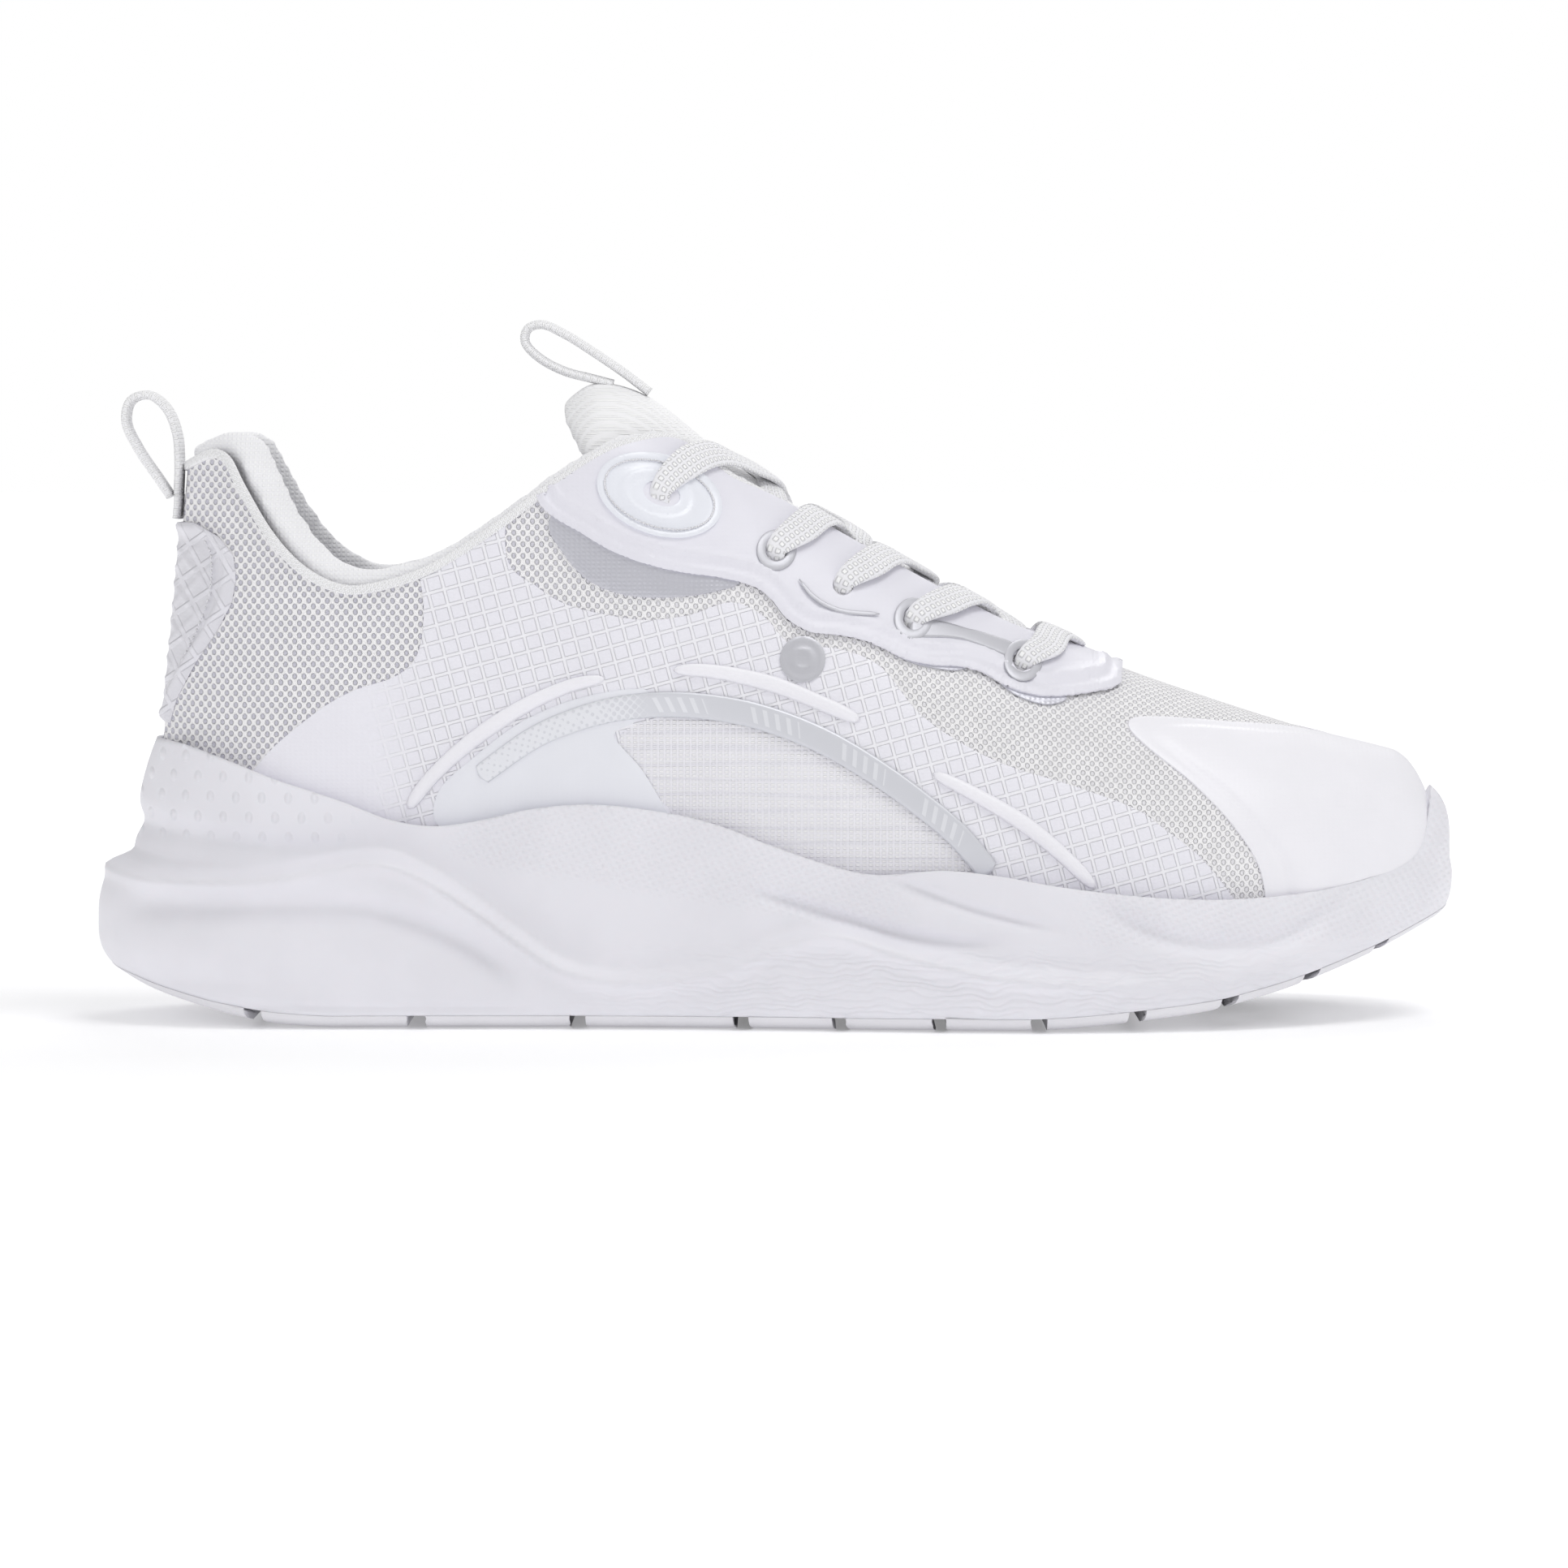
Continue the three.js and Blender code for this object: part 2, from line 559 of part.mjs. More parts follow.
// A flat board cut to the last, from one height above the footbed to another, with an inset edge.
function board(inset, low, high, rim = 0) {
  const columns = 18;
  const rings = [];
  for (let i = 0; i <= columns; i++) {
    const share = bunched(lerp(0.03, 0.97, i / columns));
    const x = xAt(share);
    const [left, right] = [LATERAL, MEDIAL].map((side) => lastPoint(side, share, 0, inset));
    const at = (part, height) => new THREE.Vector3(left.x, lerp(left.y, right.y, part), footbed(x) + height);
    rings.push([at(0.02, low), at(0.5, low), at(0.98, low), at(1, high + rim), at(0.85, high),
      at(0.15, high), at(0, high + rim)]);
  }
  return loft(rings);
}

// ---- The upper ---------------------------------------------------------------------------------------
const HEEL_TAB = curve([[73, 15.5], [79, 19], [85, 24.5], [90, 28.8], [95.4, 30.6], [100.5, 29.8],
  [104.5, 26], [106.5, 20]], KZ, KX);
// How far the collar roll reaches down from the edge.
const rollDepth = curve([[15, 5], [118, 4.6], [132, 2.4], [146, 0.9]], KX, KZ);
const rollWall = curve([[15, 9], [60, 9], [85, 7], [100, 4.6], [112, 3], [150, 2.6]], KX, 1);
const padding = curve([[15, COLLAR_FOAM], [60, COLLAR_FOAM], [76, COLLAR_FOAM * 0.5], [90, 1]], KX, 1);
const ROLL_END = 146 * KX;
const FOAM_END = 90 * KX;
const LINING_SPLIT = 156 * KX;
const TOE_PUFF_START = 262 * KX;

// The edge, lowered by a distance down the wall.
function belowEdge(share, drop) {
  const top = edgeAt(share);
  if (drop <= 0) return top;
  const edge = lastPoint(LATERAL, share, top);
  return solve((v) => -lastPoint(LATERAL, share, v).distanceTo(edge), -drop, 0, top);
}

const pastRoll = (x) => smooth(x, ROLL_END, ROLL_END + 8);
const meshTop = (share) => belowEdge(share, (rollDepth(xAt(share))
  + 2 * SHEET_ROOM) * (1 - pastRoll(xAt(share))));
const [behindFlex, aheadOfFlex] = [-1, 1].map((way) => shareAt(FLEX_X + (way * HINGE_CLEARANCE) / 2));

function meshRear() {
  const whole = shell(wholeSheet(27, 6, 0, behindFlex, () => 0, meshTop), even(0), even(MESH_THICKNESS));
  return drilled(whole);
}

function meshToe() {
  return shell(wholeSheet(10, 6, aheadOfFlex, 1, () => 0, () => 1), even(0), even(MESH_THICKNESS));
}

function heelCounter() {
  const top = (share) => Math.min(vAtHeight(share, curve([[15, 84], [45, 72],
  [80, 46]], KX, KZ)(xAt(share))), meshTop(share) - 0.03);
  return shell(wholeSheet(9, 3, 0, shareAt(82 * KX), () => 0.03, top), even(BACKING_OUT), even(COUNTER_IN));
}

function toePuff() {
  return shell(wholeSheet(7, 5, shareAt(TOE_PUFF_START), 1, () => 0.07, () => 1), even(BACKING_OUT),
    even(COUNTER_IN));
}

const foamBottom = (share) => vAtHeight(share, curve([[15, 96], [40, 80], [60, 72],
  [90, 94]], KX, KZ)(xAt(share)));

function collarFoam() {
  const inner = ({ share, v }) => {
    const swell = Math.sin(Math.PI * clamp((v - foamBottom(share)) / (meshTop(share) - foamBottom(share)),
      0.12, 0.75));
    return LINING_OUT + 0.4 + padding(xAt(share)) * swell;
  };
  return shell(wholeSheet(12, 3, 0, shareAt(FOAM_END - 5), foamBottom, meshTop), even(LINING_OUT), inner);
}

function quarterLining() {
  const over = ({ share, v }) => {
    const x = xAt(share);
    const bottom = foamBottom(share);
    const swell = smooth(v, bottom - 0.08, bottom + 0.02) * (1 - smooth(x, FOAM_END, FOAM_END + 8));
    const plain = lerp(LINING_OUT, BACKING_OUT, smooth(x, FOAM_END - 8, FOAM_END + 12));
    return lerp(plain, LINING_OUT + 0.4 + padding(x) + GAP, swell);
  };
  const sheet = wholeSheet(18, 5, 0, shareAt(LINING_SPLIT - GAP), () => 0.06, meshTop);
  return drilled(shell(sheet, over, (place) => over(place) + LINING_THICKNESS));
}

function vampLining() {
  const sheet = wholeSheet(9, 5, shareAt(LINING_SPLIT), behindFlex, () => 0.06, edgeAt);
  return drilled(shell(sheet, even(BACKING_OUT), even(BACKING_OUT + LINING_THICKNESS)));
}

function toeLining() {
  const sheet = wholeSheet(9, 5, aheadOfFlex, 1, () => 0.07, () => 1);
  return shell(sheet, even(LINING_OUT), even(LINING_IN));
}

// The padded roll along the collar: a tube round the edge, from the inner throat round the heel to the
// outer one.
function collarRoll() {
  const steps = 24;
  const rings = [];
  for (let i = -steps; i <= steps; i++) {
    const side = i < 0 ? LATERAL : MEDIAL;
    const share = bunched(Math.abs(i) / steps, 0, shareAt(ROLL_END));
    const x = xAt(share);
    const wall = rollWall(x);
    const top = edgeAt(share);
    const low = belowEdge(share, rollDepth(x));
    const place = (part, inset) => lastPoint(side, share, lerp(low, top, part), inset);
    rings.push([
      place(0, OVERLAY_OUT + 0.3), place(0.6, OVERLAY_OUT), place(1, OVERLAY_OUT + wall * 0.3),
        place(1, wall * 0.62),
      place(0.6, wall + 0.2), place(0, wall - 0.2),
    ]);
  }
  return loft(rings);
}

function toeCap() {
  const rearEdge = curve([[0, 254], [0.22, 252], [0.36, 246], [0.48, 237], [0.56, 228], [0.61, 224.5],
  [0.66, 227], [0.78, 248], [1, 273]], 1, KX);
  const quads = Object.values(SIDES).flatMap((side) =>
    gridOf(8, 9, (a, b) => ({ side, share: lerp(shareAt(rearEdge(b)), 1, 1 - (1 - a) ** 2), v: b })),
  );
  return shell(quads, even(OVERLAY_OUT), even(OVERLAY_IN));
}

function heelTab() {
  const quads = Object.values(SIDES).flatMap((side) =>
    gridOf(5, 7, (a, b) => {
      const height = lerp(73, 106.4, b) * KZ;
      const share = clamp(shareAt(HEEL_TAB(height)) * a * a, 0, 1);
      return { side, share, v: vAtHeight(share, height) };
    }),
  );
  return shell(quads, even(OVERLAY_OUT - 0.5), even(OVERLAY_IN - 0.2));
}

const CAGE = [
  [35, 48], [38, 57], [49, 66.8], [57.6, 72], [66.3, 74.9], [70.6, 78], [72.6, 82.5], [73.2, 90],
  [72.4, 104], [80, 116], [90, 118],
  [91, 100.5], [97.4, 94.5], [104.3, 90.5], [114.7, 88.1], [122, 87.4], [130.3, 88.4], [139, 91],
  [146, 88], [152, 82], [162, 81],
  [171, 77.2], [179, 67.7], [187.4, 61.6], [197.8, 56.4], [211.6, 52.1], [225.5, 47], [232.6, 42.1],
  [239.5, 36.7], [246, 28.7],
  [249, 22], [222, 18], [199, 24], [193.5, 33.4], [187, 42], [178.5, 50], [166.6, 58.2], [153, 64],
  [140, 67.4], [128, 67.6],
  [115.5, 63], [119.5, 54], [127, 42], [100, 38], [60, 37],
];
const PANEL = [
  [118.3, 63.6], [128, 66.4], [140, 66.2], [152.5, 62.8], [166, 57], [177.5, 48.8], [186, 41],
  [192, 33.4], [195, 27], [180, 26],
  [150, 30], [131, 38], [122.5, 53.6],
];
const TAPE = [
  [84, 54], [93, 59.5], [104, 65.5], [117, 70.2], [130, 71.6], [144, 69.6], [156, 64.8], [170, 57],
  [182, 48.5], [190, 41],
  [196.5, 34.6], [190.5, 35.2], [182, 43], [174, 49.5], [160, 58], [148, 62.6], [133, 65.2], [118, 63],
  [104, 58.4], [92, 52.6],
];
const EYESTAY = [
  [97.5, 113], [108.2, 104.7], [115.3, 100.9], [122.3, 98.5], [129.4, 96.9], [136.5, 95.9], [143.5, 94.1],
  [147.4, 91.5], [151, 87.2],
  [156, 84.3], [162, 83.6], [167.3, 82.5], [171.5, 80.8], [176.5, 78.4], [182, 77.1], [189.3, 76.5],
  [193.8, 75.1], [198, 72.6],
  [203, 70.8], [209, 70.1], [218, 71], [222.6, 72], [224, 74], [222, 84], [190, 108], [160, 128],
  [125, 140], [104, 128],
];
const UNDERLAY = [
  [100, 108], [103.5, 101], [109, 95.5], [117, 92.6], [127, 92.2], [136, 93.4], [141, 96], [133, 104],
  [118, 112], [106, 114],
];
const EYELETS = [[202.1, 77.2], [178.4, 86.4], [163.2, 94], [148.8, 101.2]].map(([x, z]) => [x * KX, z * KZ]);
const TOP_LOOP = { x: 124.2 * KX, z: 113.4 * KZ, length: 27, height: 17, tilt: -18, slot: [7.8, 4.8] };

// The centre of a place on the wall, the direction along the shoe there, and the direction straight out.
function wallFrame(side, [x, z]) {
  const share = shareAt(x);
  const v = vAtHeight(share, z);
  const centre = lastPoint(side, share, v);
  const up = lastPoint(side, share, v + 0.01).sub(centre);
  const along = lastPoint(side, share + 0.01, v).sub(centre);
  const normal = along.clone().cross(up).normalize().multiplyScalar(-side);
  return { centre, along, normal };
}

// A short cylinder through the wall of one side, square to it.
function holeThrough(side, at, radius, reach = 8) {
  const { centre, normal } = wallFrame(side, at);
  const drill = new THREE.CylinderGeometry(radius, radius, 2 * reach, 10);
  drill.applyQuaternion(new THREE.Quaternion().setFromUnitVectors(new THREE.Vector3(0, 1, 0), normal));
  drill.translate(centre.x, centre.y, centre.z);
  return solidOf(drill);
}

function ellipse({ x, z, length, height, tilt }, grow = 0, sides = 20) {
  const turn = THREE.MathUtils.degToRad(tilt);
  return Array.from({ length: sides }, (_, i) => {
    const angle = (2 * Math.PI * i) / sides;
    const [a, b] = [(length / 2 + grow) * Math.cos(angle), (height / 2 + grow) * Math.sin(angle)];
    return [x + a * Math.cos(turn) - b * Math.sin(turn), z + a * Math.sin(turn) + b * Math.cos(turn)];
  });
}

const slotShape = (side) => {
  const far = 80 * KY;
  const [length, height] = TOP_LOOP.slot;
  const slot = ellipse({ ...TOP_LOOP, length, height }, 0, 10);
  return side === LATERAL ? sidePrism(slot, -far, -8) : sidePrism(slot, 8, far);
};
const eyeletCuts = (side) => [slotShape(side), ...EYELETS.map((at) => holeThrough(side, at,
  EYELET_DIAMETER / 2))];
const allCuts = () => [...eyeletCuts(LATERAL), ...eyeletCuts(MEDIAL)];
const drilled = (solid) => mainBody(allCuts().reduce((left, cut) => left.subtract(cut), solid));

const DOT = { x: 154.4 * KX, z: 78.7 * KZ, length: 9.6, height: 9.6, tilt: 0 };

// A flat metal ring round an eyelet, on the facing.
function eyeletRing(side, row) {
  const [x, z] = EYELETS[row];
  const round = ellipse({ x, z, length: 8.4, height: 8.4, tilt: 0 }, 0, 14);
  const plate = appliqueOf(side, round, RING_OUT, RING_IN);
  return mainBody(plate.subtract(holeThrough(side, EYELETS[row], EYELET_DIAMETER / 2 + 0.2)));
}

// ---- The tongue --------------------------------------------------------------------------------------
const TONGUE_TOP = 103 * KX;
const TONGUE_ROOT = 211 * KX;
const tongueHalf = curve([[101, 22], [106, 25.5], [114, 27], [126, 25.5], [145, 25.5], [170, 23],
  [200, 19], [215, 16]], KX, KY);
const tongueFoam = curve([[101, 0.55], [108, 1], [140, 0.8], [180, 0.5], [215, 0.35]], KX, TONGUE_FOAM);
const tongueSide = (share) => vAtWidth(share, tongueHalf(xAt(share)));

function tongueLayer(outer, inner) {
  const [from, to] = [shareAt(TONGUE_TOP), shareAt(TONGUE_ROOT)];
  const quads = Object.values(SIDES).flatMap((side) =>
    gridOf(12, 3, (a, b) => {
      const share = lerp(from, to, a);
      return { side, share, v: lerp(tongueSide(share), 1, b) };
    }),
  );
  return shell(quads, outer, inner);
}

// The tongue lies under the lace, and swells up to the ridge where it stands clear above it.
function tongueFront({ share, v }) {
  const x = xAt(share);
  const proud = smooth(v, 0.8, 0.97) * (1 - smooth(x, 118 * KX, 140 * KX));
  return lerp(TONGUE_OUT, 0.5, proud) + 5 * (1 - smooth(x, 98 * KX, 111 * KX));
}
const faceBack = (place) => tongueFront(place) + TONGUE_FACE;
const foamFront = (place) => faceBack(place) + GAP;
const foamBack = (place) => foamFront(place) + tongueFoam(xAt(place.share));
const tongueLiningFront = (place) => foamBack(place) + GAP;

// ---- Webbing loops and the lace ----------------------------------------------------------------------
// A flat band swept along a path. frames gives each point's half width vector and half thickness vector.
function band(path, wide, sections = 8) {
  const rings = path.map((point, i) => {
    const along = path[Math.min(i + 1, path.length - 1)].clone().sub(path[Math.max(i - 1, 0)]).normalize();
    const across = wide(i).across.clone().addScaledVector(along, -wide(i).across.dot(along)).normalize();
    const lift = along.clone().cross(across).normalize();
    return Array.from({ length: sections }, (_, k) => {
      const angle = (2 * Math.PI * (k + 0.5)) / sections;
      const square = (value) => Math.sign(value) * Math.abs(value) ** 0.6;
      return point.clone()
        .addScaledVector(across, (wide(i).width / 2) * square(Math.cos(angle)))
        .addScaledVector(lift, (wide(i).thickness / 2) * square(Math.sin(angle)));
    });
  });
  return loft(rings);
}

function loopBand(points, steps) {
  const path = new THREE.CatmullRomCurve3(points.map(([x, z]) => new THREE.Vector3(x * KX, 0, z * KZ)),
    false, "centripetal");
  const wide = { across: new THREE.Vector3(0, 1, 0), width: LOOP_WIDTH, thickness: LOOP_THICKNESS };
  return band(path.getSpacedPoints(steps), () => wide, 8);
}

const HEEL_LOOP = [
  [16.2, 113.6], [13.6, 117.5], [9.2, 124], [6.5, 130], [7.6, 134.6], [11.5, 135.8], [15.3, 133],
  [17.6, 127.5], [18.1, 121], [17.9, 114.2],
];
const HEEL_ANCHOR = [[16.2, 112.9], [16.1, 110], [16.1, 107.4]];
const TONGUE_LOOP = [
  [113.8, 142.4], [109, 145.2], [102.6, 149.4], [97.4, 151.4], [94.4, 150.2], [93.6, 147.4], [96.2, 144],
  [102.2, 141], [108.2, 140.5],
  [112.6, 140.2],
];

// The lace is laid ring by ring: each ring is a place on the last, an inset, and the lace's width and
// thickness there.
const FLAT = { width: LACE_WIDTH, thickness: LACE_THICKNESS };
const PINCHED = { width: 3.2, thickness: 2.2 };
const TUCKED = { width: 4.4, thickness: LACE_THICKNESS };
const HOLES = [...EYELETS, [TOP_LOOP.x, TOP_LOOP.z]];

function laceRing(side, x, v, inset, form) {
  const share = shareAt(x);
  const across = lastPoint(side, share + 0.005, v, inset).sub(lastPoint(side, share - 0.005, v, inset));
  return { point: lastPoint(side, share, v, inset), across, ...form };
}

// Down through a hole from outside.
function throughHole(side, row) {
  const [x, z] = HOLES[row];
  const { centre, along, normal } = wallFrame(side, HOLES[row]);
  const ring = (inset) => {
    const layer = lastPoint(side, shareAt(x), vAtHeight(shareAt(x), z), inset);
    const height = layer.sub(centre).dot(normal);
    return { point: centre.clone().addScaledVector(normal, height), across: along, ...PINCHED };
  };
  const depth = row === 4 ? LACE_UNDER + 2 * SHEET_ROOM : LACE_UNDER - 0.4;
  return [ring(LACE_OVER + 0.2), ring(depth)];
}

// A place between a hole (0), the throat edge over it (1) and the ridge (2), at a part of the way to the
// next row.
function crossing(side, row, part, reach, inset, form = FLAT) {
  const x = lerp(HOLES[row][0], HOLES[row + 1][0], part);
  const z = lerp(HOLES[row][1], HOLES[row + 1][1], part);
  const share = shareAt(x);
  const stops = [vAtHeight(share, z), edgeAt(share), 1];
  const stop = Math.min(Math.floor(reach), 1);
  return laceRing(side, x, lerp(stops[stop], stops[stop + 1], reach - stop), inset, form);
}

// From under the facing at one row, out over the tongue, across to lie on the other facing at the next row.
function strand(side, row, lift) {
  return [
    crossing(side, row, 0.22, 1, LACE_UNDER, TUCKED),
    crossing(side, row, 0.38, 1.45, LACE_UNDER - 0.6 - lift),
    crossing(side, row, 0.5, 2, LACE_UNDER - 1.2 - lift),
    crossing(-side, row, 0.62, 1.45, LACE_UNDER - 2.6 - lift),
    crossing(-side, row, 0.8, 1, LACE_OVER - 0.2),
    crossing(-side, row, 0.93, 0.45, LACE_OVER - 1.9),
    ...throughHole(-side, row + 1),
  ];
}

function tail(side) {
  const [x, z] = HOLES[4];
  const v = (drop) => vAtHeight(shareAt(x), z - drop);
  return [7, 15, 24].map((drop) => laceRing(side, x + drop * 0.1, v(drop), LACE_UNDER + 2 * SHEET_ROOM,
    TUCKED));
}

// Half the lace, from the bar across the lowest row up to its hidden end on the side it started from.
function laceHalf(first, lift) {
  const rings = [
    crossing(first, 0, 0, 1, LACE_OVER - 0.4),
    crossing(first, 0, 0, 0.45, LACE_OVER - 0.4),
    ...throughHole(first, 0),
  ];
  let side = first;
  for (let row = 0; row < 4; row++) {
    rings.push(...strand(side, row, lift));
    side = -side;
  }
  return [...rings, ...tail(side)];
}

function lace() {
  const middle = crossing(LATERAL, 0, 0, 2, LACE_OVER + 1);
  const rings = [...laceHalf(MEDIAL, 0).reverse(), middle, ...laceHalf(LATERAL, 1.9)];
  return band(rings.map((ring) => ring.point), (i) => rings[i]);
}

// ---- Materials ---------------------------------------------------------------------------------------
const material = (color, roughness, metalness = 0) => new THREE.MeshStandardMaterial({ color, roughness,
  metalness });
const MATERIALS = {
  foam: material(0xe6e5ec, 0.6),
  rubber: material(0xe2e1e8, 0.7),
  mesh: material(0xdedde6, 0.9),
  film: material(0xe9e8ef, 0.45),
  knit: material(0xe8e6f0, 0.9),
  silver: material(0xc4c3c8, 0.35, 0.3),
  collar: material(0xf8f8f8, 0.9),
  lining: material(0xf2f2f2, 0.95),
  board: material(0xd9d6cc, 0.9),
  lace: material(0xfafafa, 0.85),
  webbing: material(0xf0f4f8, 0.8),
  clear: material(0xf0f4f8, 0.3),
};

const shoe = new THREE.Group();
function add(name, solid, finish) {
  const mesh = new THREE.Mesh(geometryOf(solid), MATERIALS[finish]);
  mesh.name = name;
  shoe.add(mesh);
  return mesh;
}

const envelope = soleEnvelope();
const [midsoleRear, midsoleToe] = midsoleHalves(envelope);
add("midsole_rear", midsoleRear, "foam");
add("midsole_forefoot", midsoleToe, "foam");
for (const [name, block] of outsoleBlocks(envelope)) add(name, block, "rubber");
const [strobelRear, strobelToe] = atFlex(board(LINING_IN + GAP, 0, STROBEL_THICKNESS));
add("strobel_board_rear", strobelRear, "board");
add("strobel_board_forefoot", strobelToe, "board");
const SOCK_LOW = STROBEL_THICKNESS + GAP;
const [sockRear, sockToe] = atFlex(board(LINING_IN + 0.8, SOCK_LOW, SOCK_LOW + SOCKLINER_THICKNESS, 2));
add("sockliner_rear", sockRear, "lining");
add("sockliner_forefoot", sockToe, "lining");
add("upper_mesh", meshRear(), "mesh");
add("upper_mesh_toe", meshToe(), "mesh");
add("heel_counter", heelCounter(), "board");
add("toe_puff", toePuff(), "board");
add("collar_foam", collarFoam(), "foam");
add("quarter_lining", quarterLining(), "lining");
add("vamp_lining", vampLining(), "lining");
add("toe_lining", toeLining(), "lining");
add("collar_roll", collarRoll(), "collar");
add("toe_cap", toeCap(), "film");
add("heel_tab", heelTab(), "film");
for (const [name, side] of Object.entries(SIDES)) {
  const piece = (shape, outer, inner) => appliqueOf(side, outline(shape, 1), outer, inner);
  add(`side_cage_${name}`, piece(CAGE, OVERLAY_OUT, OVERLAY_IN), "film");
  add(`knit_panel_${name}`, piece(PANEL, OVERLAY_IN - PANEL_THICKNESS, OVERLAY_IN), "knit");
  add(`arc_band_${name}`, piece(TAPE, FILM_OUT, FILM_IN), "silver");
  add(`eyestay_${name}`, drilled(piece(EYESTAY, EYESTAY_OUT, FILM_IN)), "film");
  add(`underlay_${name}`, piece(UNDERLAY, OVERLAY_OUT, OVERLAY_IN), "silver");
  add(`dot_${name}`, appliqueOf(side, ellipse(DOT, 0, 14), FILM_OUT, FILM_IN), "silver");
  add(`top_patch_${name}`, drilled(appliqueOf(side, ellipse(TOP_LOOP), RING_OUT, RING_IN)), "clear");
  for (const row of [0, 1, 3]) add(`eyelet_ring_${row + 1}_${name}`, eyeletRing(side, row), "silver");
}
add("tongue_face", tongueLayer(tongueFront, faceBack), "collar");
add("tongue_foam", tongueLayer(foamFront, foamBack), "foam");
add("tongue_lining", tongueLayer(tongueLiningFront, (place) => tongueLiningFront(place) + LINING_THICKNESS),
  "lining");
add("lace", lace(), "lace");
add("heel_loop", loopBand(HEEL_LOOP, 16), "webbing");
add("heel_loop_anchor", loopBand(HEEL_ANCHOR, 3), "webbing");
add("tongue_loop", loopBand(TONGUE_LOOP, 16), "webbing");

const box = new THREE.Box3().setFromObject(shoe);
const centre = box.getCenter(new THREE.Vector3());
shoe.position.set(-centre.x, -centre.y, -box.min.z);

export default shoe;
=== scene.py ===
"""A running shoe for the right foot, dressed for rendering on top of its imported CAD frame.

Lengths inside the shoe's own classes are millimetres in the shoemaker's frame: x from the back of the sole,
y across from its middle line, z up from the ground. `Bench.place` turns them into the frame's metres.
"""

import logging
import math
from dataclasses import dataclass, field
from enum import Enum
from typing import Callable, Iterable, Sequence

import bmesh
import bpy
import numpy as np
from mathutils import Matrix, Vector


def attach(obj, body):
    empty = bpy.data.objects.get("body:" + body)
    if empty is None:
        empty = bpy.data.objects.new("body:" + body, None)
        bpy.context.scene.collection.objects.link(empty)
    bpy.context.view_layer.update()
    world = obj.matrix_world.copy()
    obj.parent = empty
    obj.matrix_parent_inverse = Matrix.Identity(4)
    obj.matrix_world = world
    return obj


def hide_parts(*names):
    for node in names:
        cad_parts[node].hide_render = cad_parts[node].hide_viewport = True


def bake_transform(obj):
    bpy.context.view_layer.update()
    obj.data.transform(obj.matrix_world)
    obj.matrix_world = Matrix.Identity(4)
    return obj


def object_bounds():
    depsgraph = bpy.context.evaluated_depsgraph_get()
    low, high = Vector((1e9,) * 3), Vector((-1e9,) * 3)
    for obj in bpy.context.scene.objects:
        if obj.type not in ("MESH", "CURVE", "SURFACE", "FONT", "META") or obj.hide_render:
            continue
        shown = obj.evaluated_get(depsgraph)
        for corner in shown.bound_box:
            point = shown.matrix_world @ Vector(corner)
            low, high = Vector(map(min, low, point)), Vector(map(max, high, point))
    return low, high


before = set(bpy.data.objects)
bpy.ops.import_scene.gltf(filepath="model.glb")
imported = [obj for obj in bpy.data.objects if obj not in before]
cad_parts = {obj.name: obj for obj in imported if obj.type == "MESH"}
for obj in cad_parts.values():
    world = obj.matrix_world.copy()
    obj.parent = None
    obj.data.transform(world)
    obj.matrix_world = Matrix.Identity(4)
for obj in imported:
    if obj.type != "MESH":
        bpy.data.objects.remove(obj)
CAD_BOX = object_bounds()

log = logging.getLogger("running_shoe")

Points = Sequence[Sequence[float]]
Array = np.ndarray
Socket = bpy.types.NodeSocket
Material = bpy.types.Material
Piece = bpy.types.Object

LATERAL = -1
MEDIAL = 1
SIDES = {"lateral": LATERAL, "medial": MEDIAL}
SOLE_LENGTH = 298.0
FLEX_X = 226.3
BENDS = "bends"
BEND_START = (212.3, 2.0, 27.1)
BEND_END = (241.3, 2.0, 27.1)


# ---- Curves and the last --------------------------------------------------------------------------------


def lerp(a: Array | float, b: Array | float, t: Array | float) -> Array | float:
    """Mixes a and b by t."""
    return a + (b - a) * t


def smooth(value: Array | float, low: float, high: float) -> Array:
    """Rises smoothly from 0 at low to 1 at high."""
    t = np.clip((np.asarray(value, float) - low) / (high - low), 0.0, 1.0)
    return t * t * (3 - 2 * t)


def bell(value: Array | float, width: float) -> Array:
    """A bump of height 1 at zero that dies away over width."""
    return np.exp(-((np.asarray(value, float) / width) ** 2))


def lattice(a: Array, b: Array, pitch: float, width: float) -> Array:
    """Two sets of crossing lines, 1 on a line and 0 between.

    Args:
        a: the place one way.
        b: the place the other way, which slants both sets.
        pitch: the distance between lines.
        width: how wide a line is.

    Returns:
        The height, 0 to 1.
    """
    return np.maximum(bell((a + b) % pitch - pitch / 2, width), bell((a - b) % pitch - pitch / 2, width))


class Line:
    """A smooth curve through points, which keeps its end values outside them."""

    def __init__(self, *points: tuple[float, float]) -> None:
        """Stores the points and the slope at each.

        Args:
            points: the places that it passes, each x and y.
        """
        data = np.array(points, float)
        self.x, self.y = data[:, 0], data[:, 1]
        last = len(self.x) - 1
        low = np.maximum(np.arange(last + 1) - 1, 0)
        high = np.minimum(np.arange(last + 1) + 1, last)
        self.slope = (self.y[high] - self.y[low]) / (self.x[high] - self.x[low])

    def __call__(self, x: Array | float) -> Array:
        """Evaluates the curve.

        Args:
            x: where to read it.

        Returns:
            The values.
        """
        x = np.clip(np.asarray(x, float), self.x[0], self.x[-1])
        i = np.clip(np.searchsorted(self.x, x, side="right") - 1, 0, len(self.x) - 2)
        step = self.x[i + 1] - self.x[i]
        t = (x - self.x[i]) / step
        u = 1 - t
        rise = u * u * (1 + 2 * t) * self.y[i] + t * t * (3 - 2 * t) * self.y[i + 1]
        return rise + step * t * u * (u * self.slope[i] - t * self.slope[i + 1])


